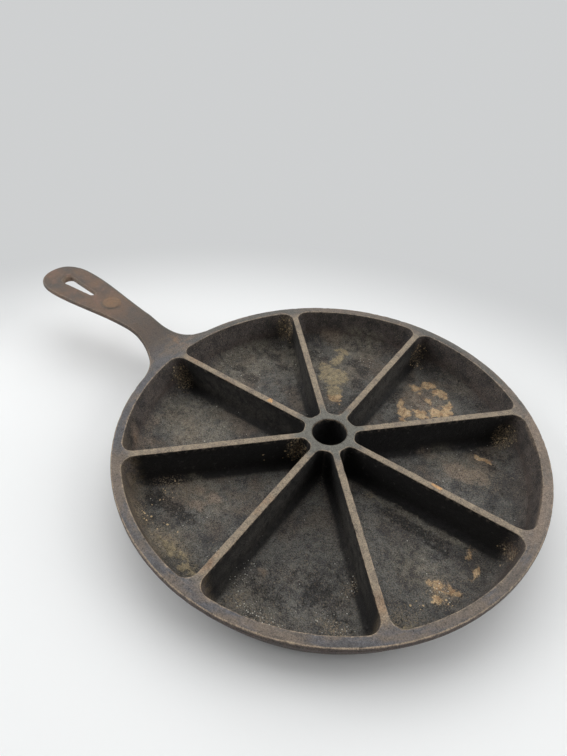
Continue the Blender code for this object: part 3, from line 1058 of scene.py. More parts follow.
# The coordinates drawn out along the rim, so that its stains run round the pan
def makeRimFlow():
    inputs = {"Vector": None, "Along": 34.0}
    tree, given, result = newGroup("rimFlow", inputs, ("Vector", "Reach"))
    flat = vectorCalc(tree, "MULTIPLY", given["Vector"], (1, 1, 0))
    reach = vectorCalc(tree, "LENGTH", flat, output="Value")
    around = vectorCalc(tree, "NORMALIZE", flat)
    links = {0: around, "Scale": given["Along"]}
    around = put(tree, "VectorMath", links, operation="SCALE").outputs[0]
    across = put(tree, "CombineXYZ", {"Z": reach}).outputs[0]
    tree.links.new(vectorCalc(tree, "ADD", around, across), result["Vector"])
    tree.links.new(reach, result["Reach"])
    return tree


ironColours = {
    "pocketDark": (0.050, 0.049, 0.049, 1),
    "pocketGrey": (0.134, 0.129, 0.117, 1),
    "pocketBrown": (0.142, 0.114, 0.089, 1),
    "wallBrown": (0.088, 0.073, 0.066, 1),
    "wallDark": (0.042, 0.037, 0.036, 1),
    "ash": (0.050, 0.045, 0.039, 1),
    "lipBrown": (0.100, 0.070, 0.057, 1),
    "soot": (0.0065, 0.0055, 0.0050, 1),
    "black": (0.0035, 0.0032, 0.0032, 1),
    "rimBlue": (0.094, 0.091, 0.097, 1),
    "rimGrey": (0.100, 0.094, 0.083, 1),
    "rimBrown": (0.155, 0.123, 0.097, 1),
    "rimDark": (0.066, 0.060, 0.055, 1),
    "hubGrey": (0.136, 0.131, 0.111, 1),
    "dividerTan": (0.272, 0.219, 0.155, 1),
    "dividerBrown": (0.190, 0.150, 0.112, 1),
    "handleBrown": (0.143, 0.089, 0.058, 1),
    "handleGrey": (0.080, 0.065, 0.054, 1),
    "handleOlive": (0.078, 0.071, 0.055, 1),
    "handleRed": (0.215, 0.118, 0.085, 1),
    "bossTan": (0.205, 0.119, 0.062, 1),
    "crest": (0.340, 0.264, 0.187, 1),
    "gold": (0.190, 0.142, 0.078, 1),
    "ochre": (0.640, 0.470, 0.280, 1),
    "ochreDeep": (0.420, 0.265, 0.145, 1),
    "khaki": (0.440, 0.357, 0.220, 1),
    "khakiDeep": (0.285, 0.240, 0.165, 1),
    "tan": (0.250, 0.190, 0.144, 1),
    "hazeAndSheen": (0.240, 0.217, 0.170, 1),
    "dust": (0.330, 0.262, 0.178, 1),
    "orange": (0.270, 0.150, 0.072, 1),
    "spark": (0.560, 0.330, 0.150, 1),
    "grit": (0.860, 0.830, 0.740, 1),
    "crumb": (0.780, 0.580, 0.330, 1),
    "grimeAndShade": (0.013, 0.0115, 0.0115, 1),
}

# Stains in millimetres from the pan's axis: x, y, z, half sizes, strength
stainBlooms = {
    "ochre": [
        (-15.6, -84.4, 4, 4.4, 3.6, 7, 1.1), (-20.6, -91.4, 4, 5, 4, 7, 1.3),
        (-30.1, -89.7, 4, 5.6, 3.6, 7, 1.2), (-39, -80.9, 4, 3.8, 6, 7, 1.3),
        (-35.6, -71.9, 4, 5, 4.2, 7, 1.3), (-27.6, -64.7, 4, 5.4, 4, 7, 1.3),
        (-19.4, -60.5, 4, 4.6, 4, 7, 1.3), (-14, -66, 4, 3, 4.4, 7, 0.9), (-43, -71, 4, 3.6, 3, 7, 0.7),
        (-27, -78.5, 4, 2.6, 2.4, 7, 0.7), (-40.8, -75, 4, 3.8, 4.6, 7, 1.2),
        (-22.5, -54, 4, 3.6, 2.4, 7, 0.8), (23, -45, 4, 4.2, 5.2, 7, 1.1),
        (-85.5, 35.2, 4, 4.8, 3.2, 5, 1), (-92.5, 32.6, 4, 3.8, 2.6, 5, 0.9),
        (-89, 41.2, 4, 3.2, 2.2, 5, 0.8), (-73, -53.4, 4, 6, 1.8, 5, 1), (-91, 9, 4, 1.4, 3.2, 5, 0.7),
        (-96.5, 17, 4, 1.4, 4.2, 5, 0.8),
    ],
    "khaki": [
        (34, -62, 4, 10.5, 8.8, 7, 1.4), (26.5, -51, 4, 5.8, 7, 7, 1.2), (42, -66, 4, 6.4, 5, 7, 0.9),
        (41, -78, 4, 4.4, 7.6, 7, 1), (43, -88, 4, 5, 4, 7, 0.8), (30, 95.5, 5, 9, 3.6, 6, 0.5),
        (17.5, 98.8, 5, 7, 3, 6, 0.55), (-84, 66, 5, 8, 5, 6, 0.35),
    ],
    "tan": [
        (37.5, 68, 4, 6, 5, 6, 0.9), (34, 60, 4, 6.4, 5.4, 6, 1.2), (44, 60.5, 4, 4.6, 4, 6, 0.7),
        (-66, -36, 4, 13, 8, 7, 0.75), (-76, -39, 4, 8, 6, 7, 0.55), (-46, -37, 4, 8, 5, 7, 0.4),
        (-89.5, 35.5, 4, 9, 7, 6, 0.5), (-12.9, 77.9, 4, 4.2, 3.4, 4, 0.9), (94, 58, 12, 6, 7, 12, 0.75),
        (90, 52, 5, 7, 7, 7, 0.55), (84, 73, 7, 7, 6, 9, 0.6), (99, 44, 4, 5, 14, 6, 0.5),
        (56, -93, 9, 16, 8, 8, 0.6), (-24, -76, 4, 18, 17, 7, 0.45), (98, -66, 4, 12, 10, 6, 0.45),
        (-41.1, 113.2, 26.5, 9, 3, 4, 0.9), (-50.3, 109.4, 26.5, 8, 2.6, 4, 0.7),
        (-60, 105, 26.5, 9, 2.4, 4, 0.6), (-111, -24, 26.5, 10, 34, 4, 0.8),
        (-92, -66, 26.5, 18, 22, 4, 0.7),
    ],
    "orange": [
        (24, -44, 4, 2.8, 3.6, 6, 0.6), (11.8, -38, 5, 4, 4.4, 6, 0.6), (-35, -76, 4, 3, 3.6, 6, 0.4),
        (-26.5, -67, 4, 3.6, 2.6, 6, 0.35), (-77, -54.8, 4, 2.8, 2, 5, 0.8),
        (-12.9, 77.6, 4, 2, 1.8, 4, 0.7), (23.5, 37.9, 4, 1.7, 1.7, 4, 0.7),
        (110.5, 2.2, 12, 5, 4, 8, 0.5), (-106.5, 4, 15, 6, 5, 9, 0.4), (12.5, 13.5, 17, 6, 5, 9, 0.7),
        (93.5, 60, 11, 3.6, 4, 6, 0.4), (-70, 71.5, 26.5, 9, 9, 2, 0.5), (1.5, 99, 26.5, 3.4, 9, 2, 0.55),
        (0, 60, 26.5, 3, 16, 2, 0.35), (72, 2.5, 26.5, 16, 2.2, 2, 0.3), (100, 0, 26.5, 8, 3, 2, 0.35),
        (122, -8, 27.5, 14, 4, 4, 0.35),
    ],
    "spark": [
        (41, 0, 26.5, 2.2, 1.7, 2, 1.3), (-62.8, -0.4, 26.5, 3.4, 1.8, 2, 1.6),
    ],
    # haze on the floors, partly painted sheen; the long thin bloom at y 7.4 is a painted highlight on a
    # fillet
    "hazeAndSheen": [
        (92, -44, 4, 26, 32, 8, 1.1), (112, -40, 5, 9, 26, 6, 0.7), (90, -72, 5, 14, 12, 6, 0.6),
        (80, 24, 4, 36, 24, 8, 0.8), (100, 36, 4, 7, 20, 6, 0.45), (-60, -40, 4, 26, 14, 8, 0.5),
        (-24, -76, 4, 26, 28, 8, 0.55), (46, -97, 5, 32, 13, 8, 1.2), (40, -104, 11, 28, 10, 9, 0.8),
        (62, -62, 4, 24, 24, 8, 0.75), (32, -66, 4, 18, 26, 8, 0.5), (38, 62, 4, 18, 14, 6, 0.6),
        (44, 56, 4, 22, 6, 6, 0.5), (33, 92, 5, 20, 12, 8, 0.6), (-72, 32, 4, 24, 18, 8, 0.45),
        (-62, 7.4, 5, 38, 2.3, 5, 1.6), (-20, 92, 5, 26, 14, 8, 0.4), (-42, -103, 6, 24, 9, 8, 0.45),
    ],
    "dark": [
        (58, -72, 4, 6, 8, 6, 0.9), (49, -74, 4, 4, 5, 6, 0.6), (30, -82, 4, 7, 5.4, 6, 0.9),
        (21, -79, 4, 6, 7, 6, 0.9), (18.4, -65, 4, 5, 7, 6, 0.8), (12, -52, 4, 5, 8, 6, 0.6),
        (-8, -90, 4, 5, 5.5, 6, 0.8), (-6, -70, 4, 7, 14, 6, 0.6), (-24, -78, 4, 8, 4.8, 6, 0.8),
        (-22, -69, 4, 5, 3, 6, 0.7), (-66, -54.6, 4, 6, 1.8, 6, 0.9), (-80, -50.6, 4, 4, 3.2, 6, 0.8),
        (-72, -58, 4, 9, 2.4, 6, 0.8), (-84, -60, 5, 7, 6, 7, 0.4), (89.2, -31.2, 4, 7, 4.6, 6, 0.9),
        (77.5, -27.5, 4, 7, 4.6, 6, 0.9), (77.2, -54, 4, 8, 5, 6, 0.8), (50, -36, 4, 13, 9, 6, 0.3),
        (66, -50, 4, 7, 4, 6, 0.6), (58, 77.5, 4, 9, 6, 6, 1), (47, 77, 4, 8, 5.6, 6, 1),
        (37, 77.5, 4, 7, 4.6, 6, 0.8), (-60, 12.5, 4, 26, 4.2, 6, 1), (-60, 2, 5, 42, 3, 5, 0.8),
        (-78, 16, 4, 12, 5, 6, 0.5), (-40.9, 69.8, 4, 22, 16, 6, 0.4), (-20, 86, 4, 12, 8, 6, 0.5),
        (104, 5, 4, 9, 5, 7, 0.5), (93, 58, 16, 12, 14, 9, 0.7), (88, 5, 4, 16, 4, 6, 0.6),
    ],
    "dust": [
        (-12, 97, 6, 10, 11, 9, 0.8), (-32, 97, 6, 24, 7, 8, 0.7), (-58, 82, 5, 18, 8, 8, 0.9),
        (-52, 62, 4, 8, 16, 7, 0.6), (33, 94, 5, 24, 9, 9, 1), (84, 72, 8, 14, 12, 14, 1),
        (60, 92, 10, 24, 12, 14, 0.7), (58, 66, 4, 26, 16, 8, 0.6), (12.5, 14, 17, 10, 8, 13, 1.5),
        (-77, -71, 10, 10, 9, 13, 1.4), (-4, -108, 11, 7, 12, 13, 0.9), (82, -74, 16, 10, 10, 14, 1.6),
        (-106, 5, 14, 10, 7, 12, 0.8), (108, 5, 12, 12, 8, 13, 1.5), (-32.5, 8.5, 6, 7, 6, 12, 0.9),
        (-88, 37, 4, 14, 12, 8, 0.9), (-72, -40, 4, 24, 16, 8, 0.7), (-80, 60, 5, 20, 14, 8, 0.7),
        (92, -44, 4, 26, 30, 8, 0.35), (80, 28, 4, 30, 22, 8, 0.45),
    ],
    "grit": [
        (-7, 85, 4, 6, 13, 8, 1.2), (-28, 97, 5, 28, 7, 8, 0.8), (-58, 80, 4, 16, 9, 8, 0.8),
        (-52, 60, 4, 5, 12, 8, 0.7), (24, -88, 4, 10, 5, 8, 1.2), (55, -76, 4, 4, 5, 6, 0.9),
        (-76, -78, 8, 8, 8, 9, 0.8), (-88, 36, 4, 8, 8, 6, 0.6), (70, -30, 4, 10, 5, 6, 0.4),
        (56, 79, 4, 9, 5, 6, 0.4),
    ],
    "crumb": [
        (107, 6, 12, 12, 9, 14, 0.7), (82, -74, 16, 9, 9, 13, 1.1), (-4.5, -106, 11, 7, 13, 13, 1.2),
        (-77, -70.5, 11, 8.5, 8.5, 12, 1.4), (-105, 6, 14, 8, 7, 11, 0.8),
        (12.5, 14.5, 17, 9, 8, 13, 1.3), (57.5, 71, 4, 6, 14, 6, 0.5), (48, 88, 5, 22, 6, 7, 0.5),
        (22, 22, 14, 16, 14, 12, 0.3), (-88, 38, 4, 9, 9, 6, 0.6), (-83, 48, 4, 6, 7, 6, 0.6),
    ],
    "ash": [
        (62, 0, 14, 54, 8, 14, 1), (0, 62, 14, 8, 54, 14, 0.8), (0, -62, 14, 8, 54, 14, 1.2),
        (45, -45, 14, 38, 38, 14, 1.2), (-45, 45, 14, 38, 38, 14, 0.9),
    ],
}
bossDisc = {"Centre": (172.0, -0.9, 38.4), "Size": (6.9, 6.9, 6.0)}


# Mottled patches: scale, lowest and highest level, detail, shift
ironMottles = {
    "floorGreys": (0.1, 0.34, 0.6, 6, 0),
    "floorBrowns": (0.055, 0.45, 0.64, 5, 40),
    "wallBlots": (0.11, 0.34, 0.6, 5, 17),
    "rimBlotches": (0.17, 0.4, 0.6, 5, 12),
    "rimStains": (0.12, 0.54, 0.66, 5, 61),
    "dividerTans": (0.16, 0.3, 0.58, 5, 73),
    "handleBrowns": (0.075, 0.3, 0.62, 4, 55),
    "handleReds": (0.16, 0.54, 0.68, 4, 81),
    "fringeGrain": (0.9, 0.36, 0.58, 3, 52),
    "orangeSpecks": (1.1, 0.44, 0.6, 2, 19),
    "sootGaps": (0.3, 0.6, 0.72, 4, 9),
    "ashClouds": (0.24, 0.28, 0.6, 5, 37),
    "underRim": (0.34, 0.5, 0.6, 5, 28),
    "goldClouds": (0.22, 0.34, 0.6, 5, 47),
    "hazeAndSheenClouds": (0.24, 0.3, 0.62, 5, 33),
    "darkGrain": (0.9, 0.3, 0.52, 3, 63),
    "khakiTones": (0.4, 0.36, 0.6, 4, 26),
    "ochreTones": (0.36, 0.36, 0.58, 4, 44),
    "filletShadePatches": (0.12, 0.35, 0.6, 3, 21),
    "dustClouds": (0.08, 0.35, 0.7, 4, 5),
}

# Where a change of the surface starts and ends, in millimetres from the pan's axis,
# and its values there if they aren't 0 and 1
ironPlaces = {
    "handle": (114.0, 136.0),  # ahead, along +X
    "handleReds": (150.0, 175.0),
    "neck": (168.0, 150.0, 0.0, 0.65),
    "nearRim": (-50.0, 40.0),  # aside, along +Y
    "nearCrestHighlight": (10.0, 70.0, 0.62, 0.88),
    "nearFoot": (52.0, 80.0),
    "farEdgeShade": (2.0, -7.0),
    "besideEye": (8.0, 6.5),
    "bossShadeArc": (0.0, 4.0),
    "coldFloors": (20.0, 90.0, 1.0, 0.25),  # aside less ahead
    "hub": (24.0, 17.0),  # from the axis
    "bore": (10.6, 9.9),
    "rimFoot": (100.0, 107.0),
    "outside": (107.45, 107.85),  # from the axis less the lean of the wall
    "aboveBase": (2.4, 3.4),  # above the table
    "underRim": (22.8, 25.6),
    "underTop": (26.3, 25.6),
}

# Where another mask sets in and where it is full, and its values there if they aren't 0 and 1
ironLevels = {
    "floorContrast": (0.0, 1.0, 0.9, 1.12),
    "topContrast": (0.0, 1.0, 1.0, 0.65),
    "handleContrast": (0.0, 1.0, 1.0, 0.55),
    "rustContrast": (0.0, 1.0, 1.0, 0.55),
    "ash": (0.0, 0.5),
    "farEdgeShadeLevel": (0.25, 0.5),
    "handleCrests": (0.0, 1.0, 1.0, 0.45),
    "hazeAndSheen": (0.0, 0.45),
    "bossRim": (-0.16, 0.0),
    "bossPad": (0.03, 0.20, 0.0, 0.75),
    "dust": (0.0, 0.9),
    "sidesKeptClear": (0.0, 0.5, 1.0, 0.0),
    "dustCover": (0.1, 0.9, 0.55, 0.92),
    "gritChance": (0.0, 0.7, 0.0, 0.6),
    "crumbChance": (0.0, 0.7, 0.0, 0.5),
    "roughness": (0.3, 0.7, 0.48, 0.64),
    "smootherTops": (0.0, 1.0, 1.0, 0.45),
}

# Patches with torn outlines: tearing, softness
tornPatches = {
    "tan": (1.0, 0.50),
    "khaki": (2.0, 0.30),
    "ochre": (2.8, 0.34),
    "orange": (1.0, 0.50),
    "spark": (0.8, 0.50),
    "dark": (1.8, 0.40),
}
patchFringe = {"spread": 0.35, "softness": 0.90}

wallLean = 0.19  # how far the outer wall leans out for each millimetre of height

# How strongly each coat covers what lies under it
ironCoats = {
    "browned": 0.8,
    "lipBrown": 0.7,
    "rimDark": 0.55,
    "handleRed": 0.5,
    "ash": 0.9,
    "farEdgeShade": 0.85,
    "underRim": 0.6,
    "gold": 0.4,
    "hazeAndSheen": 0.62,
    "dark": 0.85,
    "tan": 0.65,
    "fringe": 0.75,
    "khaki": 0.88,
    "ochre": 0.88,
    "orange": 0.55,
    "spark": 0.9,
    "bossShadeArc": 0.5,
    "grimeAndShade": 0.3,
    "grit": 0.85,
    "crumb": 0.85,
}

# How rough and how deeply grained the iron is, and how its dust and grains gather
ironSkin = {
    "rustRoughness": 0.22,
    "sootRoughness": 0.20,
    "specular": 0.40,
    "bump": 0.0007,
    "rustHeight": 0.35,
    "gritHeight": 0.8,
    "stainWarp": (8.0, 8.0, 0.0),
    "edgeBreakup": 1.1,
    "specksOnTops": 0.8,
    "dustClouding": 0.25,
    "dustOffRust": 1.5,
    "strayGrit": 0.010,
    "grit": {"Spacing": 1.0, "Size": 0.31},
    "crumbs": {"Spacing": 0.80, "Size": 0.46},
}


def makeIron():
    material = bpy.data.materials.new("seasonedIron")
    material.use_nodes = True
    tree = material.node_tree
    shader = tree.nodes["Principled BSDF"]
    colour = ironColours
    coat = ironCoats
    grainGroup = makeSandGrain()
    mottleGroup = makeMottle()
    bloomGroup = makeBloom()
    tornGroup = makeTornPatch()
    rubGroup = makeEdgeRub()
    gritGroup = makeGrit()
    dustGroup = makeDust()
    flowGroup = makeRimFlow()

    # millimetres from the pan's axis: ahead is towards the handle's tip
    place = put(tree, "TexCoord").outputs["Object"]
    scale = {"Vector": place, "Location": (-panX * 1000, 0, 0), "Scale": (1000, 1000, 1000)}
    spot = put(tree, "Mapping", scale).outputs[0]
    ahead, aside, above = put(tree, "SeparateXYZ", {0: spot}).outputs
    flow = useGroup(tree, flowGroup, Vector=spot)
    reach = flow["Reach"]
    marks = {}
    for name in ("wear", "hollow", "pocketFloor", "tops", "dividerTop", "dividerSide"):
        marks[name] = put(tree, "Attribute", attribute_name=name).outputs["Fac"]

    def mottled(name, vector=spot):
        size, low, high, detail, shift = ironMottles[name]
        if shift:
            vector = vectorCalc(tree, "ADD", vector, (shift, shift, shift))
        links = {"Vector": vector, "Scale": size, "Detail": detail, "Low": low, "High": high}
        return useGroup(tree, mottleGroup, **links)["Mask"]

    def zone(value, name):
        return ramp(tree, value, *ironPlaces[name])

    def level(mask, name):
        return ramp(tree, mask, *ironLevels[name])

    def free(mask):
        return calc(tree, "SUBTRACT", 1.0, mask, clamp=True)

    def lay(mask, name, over):
        # one more coat on the iron, as strong as its number says
        nonlocal ironColour
        ironColour = tint(tree, times(tree, mask, coat[name]), ironColour, over)

    onHandle = zone(ahead, "handle")
    # pocket floors: dark seasoning, greyer and browner in places
    floorColour = tint(tree, mottled("floorGreys"), colour["pocketDark"], colour["pocketGrey"])
    browned = times(tree, mottled("floorBrowns"), coat["browned"])
    chilly = calc(tree, "SUBTRACT", aside, ahead)
    browned = times(tree, browned, zone(chilly, "coldFloors"))
    floorColour = tint(tree, browned, floorColour, colour["pocketBrown"])
    # walls: brown, with darker blots, and redder outside
    wallColour = tint(tree, mottled("wallBlots"), colour["wallDark"], colour["wallBrown"])
    leaning = calc(tree, "SUBTRACT", reach, times(tree, above, wallLean))
    outside = zone(leaning, "outside")
    notOutside = free(outside)
    inside = times(tree, zone(above, "aboveBase"), notOutside)
    wallColour = tint(tree, times(tree, outside, coat["lipBrown"]), wallColour, colour["lipBrown"])
    ironColour = tint(tree, marks["pocketFloor"], wallColour, floorColour)
    bore = times(tree, zone(reach, "bore"), zone(above, "underTop"))
    # tops of the rim and the hub, the dividers and the handle
    rimColour = tint(tree, zone(aside, "nearRim"), colour["rimGrey"], colour["rimBlue"])
    blotched = mottled("rimBlotches", flow["Vector"])
    rimColour = tint(tree, blotched, rimColour, colour["rimBrown"])
    stains = mottled("rimStains", flow["Vector"])
    rimColour = tint(tree, times(tree, stains, coat["rimDark"]), rimColour, colour["rimDark"])
    rimColour = tint(tree, zone(reach, "hub"), rimColour, colour["hubGrey"])
    tans = mottled("dividerTans")
    dividerColour = tint(tree, tans, colour["dividerBrown"], colour["dividerTan"])
    topColour = tint(tree, marks["dividerTop"], rimColour, dividerColour)
    ironColour = tint(tree, marks["tops"], ironColour, topColour)
    browns = mottled("handleBrowns")
    handleColour = tint(tree, browns, colour["handleGrey"], colour["handleBrown"])
    handleColour = tint(tree, zone(ahead, "neck"), handleColour, colour["handleGrey"])
    flushed = times(tree, mottled("handleReds"), zone(ahead, "handleReds"), coat["handleRed"])
    handleColour = tint(tree, flushed, handleColour, colour["handleRed"])
    ironColour = tint(tree, onHandle, ironColour, handleColour)

    # stains and rust on warped coordinates
    warp = noiseOf(tree, spot, *skinNoises["warp"], "Color")
    warp = vectorCalc(tree, "SUBTRACT", warp, (0.5, 0.5, 0.5))
    warp = vectorCalc(tree, "MULTIPLY", warp, ironSkin["stainWarp"])
    warped = vectorCalc(tree, "ADD", spot, warp)

    def depthOf(name):
        found = []
        for x, y, z, sizeX, sizeY, sizeZ, strength in stainBlooms[name]:
            links = {"Centre": (x, y, z), "Size": (sizeX, sizeY, sizeZ), "Strength": strength}
            found.append(useGroup(tree, bloomGroup, Vector=warped, **links)["Depth"])
        return largest(tree, *found)

    depths = {name: depthOf(name) for name in stainBlooms}

    def tornFrom(depth, tearing, softness):
        links = {"Depth": depth, "Tearing": tearing, "Softness": softness}
        return useGroup(tree, tornGroup, Vector=spot, **links)["Mask"]

    def torn(name):
        return tornFrom(depths[name], *tornPatches[name])

    def fringed(name):
        # a thin, grainy fringe that runs out round a patch
        depth = calc(tree, "ADD", depths[name], patchFringe["spread"])
        fringe = tornFrom(depth, tornPatches[name][0], patchFringe["softness"])
        return times(tree, fringe, mottled("fringeGrain"), inside)

    khaki = times(tree, torn("khaki"), inside)
    ochre = times(tree, torn("ochre"), inside)
    rust = largest(tree, khaki, ochre)

    # the grain is weaker on the tops, on the handle and under rust
    contrast = level(marks["pocketFloor"], "floorContrast")
    contrast = times(tree, contrast, level(marks["tops"], "topContrast"))
    contrast = times(tree, contrast, level(onHandle, "handleContrast"), level(rust, "rustContrast"))
    grain = useGroup(tree, grainGroup, Vector=spot, Contrast=contrast)

    sooty = tint(tree, mottled("sootGaps"), colour["soot"], colour["wallDark"])
    ashy = times(tree, level(depths["ash"], "ash"), mottled("ashClouds"))
    sooty = tint(tree, times(tree, ashy, coat["ash"]), sooty, colour["ash"])
    ironColour = tint(tree, marks["dividerSide"], ironColour, sooty)
    ironColour = tint(tree, bore, ironColour, colour["black"])

    # worn crests of the edges, paler still on the near side as a painted highlight, painted shade in
    # olive on the handle's far edge, and rust just below the rim
    links = {"Wear": marks["wear"], "Grain": grain["Lumps"], "Breakup": ironSkin["edgeBreakup"]}
    rubbed = useGroup(tree, rubGroup, **links)["Mask"]
    inEye = times(tree, onHandle, zone(calc(tree, "ABSOLUTE", aside), "besideEye"))
    # painted shade: the rounded edges on the handle's far side darkened to olive, except round the eye
    farEdgeShade = times(tree, onHandle, zone(aside, "farEdgeShade"))
    farEdgeShade = times(tree, farEdgeShade, level(marks["wear"], "farEdgeShadeLevel"), free(inEye))
    # the crests are worn paler, and paler still towards the near side: a painted highlight
    crestsAndHighlight = times(tree, rubbed, zone(aside, "nearCrestHighlight"), level(onHandle, "handleCrests"))
    ironColour = tint(tree, crestsAndHighlight, ironColour, colour["crest"])
    lay(farEdgeShade, "farEdgeShade", colour["handleOlive"])
    notTop = free(largest(tree, marks["tops"], onHandle))
    below = times(tree, zone(above, "underRim"), notTop, mottled("underRim"))
    lay(below, "underRim", colour["pocketBrown"])
    # golden dust at the foot of the rim's near side
    foot = times(tree, zone(aside, "nearFoot"), zone(reach, "rimFoot"), inside, notTop)
    lay(times(tree, foot, mottled("goldClouds")), "gold", colour["gold"])

    # pale haze on the floors, partly a painted sheen, with a painted highlight along the fillet at the
    # foot of the divider at 180 degrees
    hazeAndSheen = times(tree, level(depths["hazeAndSheen"], "hazeAndSheen"), mottled("hazeAndSheenClouds"))
    lay(times(tree, hazeAndSheen, notOutside), "hazeAndSheen", colour["hazeAndSheen"])
    lay(times(tree, torn("dark"), mottled("darkGrain")), "dark", colour["grimeAndShade"])
    lay(torn("tan"), "tan", colour["tan"])
    lay(fringed("khaki"), "fringe", colour["khakiDeep"])
    lay(fringed("ochre"), "fringe", colour["ochreDeep"])
    khakiColour = tint(tree, mottled("khakiTones"), colour["khakiDeep"], colour["khaki"])
    lay(khaki, "khaki", khakiColour)
    ochreColour = tint(tree, mottled("ochreTones"), colour["ochreDeep"], colour["ochre"])
    lay(ochre, "ochre", ochreColour)
    onTops = times(tree, marks["tops"], ironSkin["specksOnTops"])
    specks = largest(tree, mottled("orangeSpecks"), onTops)
    lay(times(tree, torn("orange"), specks), "orange", colour["orange"])
    lay(torn("spark"), "spark", colour["spark"])
    disc = useGroup(tree, bloomGroup, Vector=spot, **bossDisc)["Depth"]
    # painted shadow: a dark olive arc round the foot of the boss on its near side
    bossShade = times(tree, level(disc, "bossRim"), zone(aside, "bossShadeArc"))
    lay(bossShade, "bossShadeArc", colour["handleOlive"])
    ironColour = tint(tree, level(disc, "bossPad"), ironColour, colour["bossTan"])

    # painted shade in the fillets and along the floor's edge, the shade of the grain, then dust, grit and
    # crumbs on top
    grimeAndShade = times(tree, marks["hollow"], mottled("filletShadePatches"))
    lay(grimeAndShade, "grimeAndShade", colour["grimeAndShade"])
    ironColour = tint(tree, 1.0, ironColour, grain["Shade"], "MULTIPLY")
    zones = level(depths["dust"], "dust")
    clouds = times(tree, mottled("dustClouds"), ironSkin["dustClouding"])
    density = calc(tree, "ADD", zones, clouds)
    density = calc(tree, "SUBTRACT", density, times(tree, rust, ironSkin["dustOffRust"]))
    dusty = useGroup(tree, dustGroup, Vector=spot, Density=density)["Mask"]
    clear = times(tree, marks["dividerSide"], level(zones, "sidesKeptClear"))
    dusty = times(tree, dusty, notTop, free(clear), inside)
    dusty = times(tree, dusty, level(zones, "dustCover"))
    ironColour = tint(tree, dusty, ironColour, colour["dust"])
    chance = calc(tree, "ADD", level(depths["grit"], "gritChance"), ironSkin["strayGrit"])
    dots = useGroup(tree, gritGroup, Vector=spot, Share=chance, **ironSkin["grit"])["Mask"]
    dots = times(tree, dots, marks["pocketFloor"])
    lay(dots, "grit", colour["grit"])
    chance = level(depths["crumb"], "crumbChance")
    crumbs = useGroup(tree, gritGroup, Vector=spot, Share=chance, **ironSkin["crumbs"])["Mask"]
    lay(times(tree, crumbs, notTop, inside), "crumb", colour["crumb"])

    rough = level(grain["Lumps"], "roughness")
    rough = calc(tree, "ADD", rough, times(tree, rust, ironSkin["rustRoughness"]))
    sootRough = times(tree, marks["dividerSide"], ironSkin["sootRoughness"])
    rough = calc(tree, "ADD", rough, sootRough, clamp=True)
    height = calc(tree, "ADD", grain["Height"], times(tree, rust, ironSkin["rustHeight"]))
    height = calc(tree, "ADD", height, times(tree, dots, ironSkin["gritHeight"]))
    height = times(tree, height, level(largest(tree, onHandle, marks["tops"]), "smootherTops"))
    bump = put(tree, "Bump", {"Strength": 1.0, "Distance": ironSkin["bump"], "Height": height})
    tree.links.new(ironColour, shader.inputs["Base Color"])
    tree.links.new(rough, shader.inputs["Roughness"])
    tree.links.new(bump.outputs[0], shader.inputs["Normal"])
    shader.inputs["Specular IOR Level"].default_value = ironSkin["specular"]
    return material


skilletShape = buildCasting()
markDividers(skilletShape)
roughen(skilletShape)
casting = placeCasting(skilletShape)
print("skillet: material")
casting.data.materials.append(makeIron())
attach(casting, "root")
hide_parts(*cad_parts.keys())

print("stage: floor, lamps and camera")
paper = {
    "size": 4.0,
    "colour": (0.90, 0.91, 0.91, 1),
    "roughness": 0.7,
    "far": (0.62, 0.63, 0.635, 1),
    "middle": (-0.093, 0.177, 0.0),
    "fade": (0.27, 0.42),
}
floorShape = bmesh.new()
bmesh.ops.create_grid(floorShape, x_segments=1, y_segments=1, size=paper["size"])
paleFloor = meshObject("paleFloor", floorShape)
floorPaint = bpy.data.materials.new("palePaper")
floorPaint.use_nodes = True
floorTree = floorPaint.node_tree
floorShader = floorTree.nodes["Principled BSDF"]
floorShader.inputs["Base Color"].default_value = paper["colour"]
floorShader.inputs["Roughness"].default_value = paper["roughness"]
# away from the skillet the floor fades into one even tone, and from below it lets the view through
floorPlace = put(floorTree, "TexCoord").outputs["Object"]
fromMiddle = vectorCalc(floorTree, "DISTANCE", floorPlace, paper["middle"], output="Value")
cameraRay = put(floorTree, "LightPath").outputs["Is Camera Ray"]
fade = times(floorTree, ramp(floorTree, fromMiddle, *paper["fade"]), cameraRay)
farTone = put(floorTree, "Emission", {"Color": paper["far"], "Strength": 1.0}).outputs[0]
seenFloor = put(floorTree, "MixShader", {0: fade, 1: floorShader.outputs[0], 2: farTone}).outputs[0]
fromBelow = put(floorTree, "NewGeometry").outputs["Backfacing"]
seeThrough = put(floorTree, "BsdfTransparent").outputs[0]
seenFloor = put(floorTree, "MixShader", {0: fromBelow, 1: seenFloor, 2: seeThrough}).outputs[0]
floorTree.links.new(seenFloor, floorTree.nodes["Material Output"].inputs["Surface"])
paleFloor.data.materials.append(floorPaint)

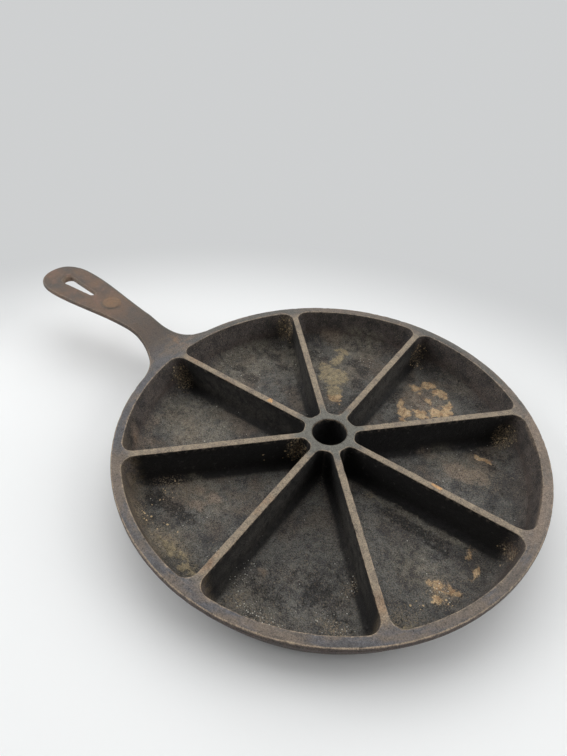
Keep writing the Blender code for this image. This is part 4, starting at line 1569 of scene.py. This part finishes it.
lamps = {
    "softBox": {"place": (0.25, -0.60, 1.35), "size": 2.0, "power": 19.0},
    "leftPanel": {"place": (1.10, 0.62, 0.75), "size": 1.1, "power": 12.5},
    "rightPanel": {"place": (-1.25, -0.62, 0.75), "size": 1.1, "power": 12.5},
}
lampAim = Vector((-0.03, 0.0, 0.0))
for name, lamp in lamps.items():
    light = bpy.data.lights.new(name, "AREA")
    light.size = lamp["size"]
    light.energy = lamp["power"]
    holder = bpy.data.objects.new(name, light)
    bpy.context.scene.collection.objects.link(holder)
    holder.location = lamp["place"]
    aim = lampAim - Vector(lamp["place"])
    holder.rotation_euler = aim.to_track_quat("-Z", "Y").to_euler()

# the skillet reflects the pale room behind it, and the darker side that the camera stands on
room = {
    "colour": (0.90, 0.92, 0.93, 1),
    "seen": 0.69,
    "mirrored": (0.102, 0.85),
    "light": 0.10,
    "away": (0.466, -0.885, 0.0),
    "turn": (-0.5, 0.4),
}
world = bpy.data.worlds.new("paleRoom")
bpy.context.scene.world = world
world.use_nodes = True
roomTree = world.node_tree
background = roomTree.nodes["Background"]
background.inputs["Color"].default_value = room["colour"]
rays = put(roomTree, "LightPath").outputs
lookedAt = put(roomTree, "TexCoord").outputs["Generated"]
facing = vectorCalc(roomTree, "DOT_PRODUCT", lookedAt, room["away"], output="Value")
behind = ramp(roomTree, facing, *room["turn"], *room["mirrored"])
bounced = largest(roomTree, rays["Is Glossy Ray"], rays["Is Transmission Ray"])
seen = times(roomTree, rays["Is Camera Ray"], room["seen"])
brightness = largest(roomTree, times(roomTree, bounced, behind), seen, room["light"])
roomTree.links.new(brightness, background.inputs["Strength"])

cameraData = bpy.data.cameras.new("camera")
cameraData.sensor_fit = "VERTICAL"
cameraData.sensor_height = view["sensor"]
cameraData.lens = view["lens"]
cameraData.clip_start = view["near"]
cameraData.clip_end = view["far"]
camera = bpy.data.objects.new("camera", cameraData)
bpy.context.scene.collection.objects.link(camera)
camera.location = view["place"]
camera.rotation_euler = view["turn"]
bpy.context.scene.camera = camera
bpy.context.scene.view_settings.view_transform = "Standard"

bpy.context.view_layer.update()
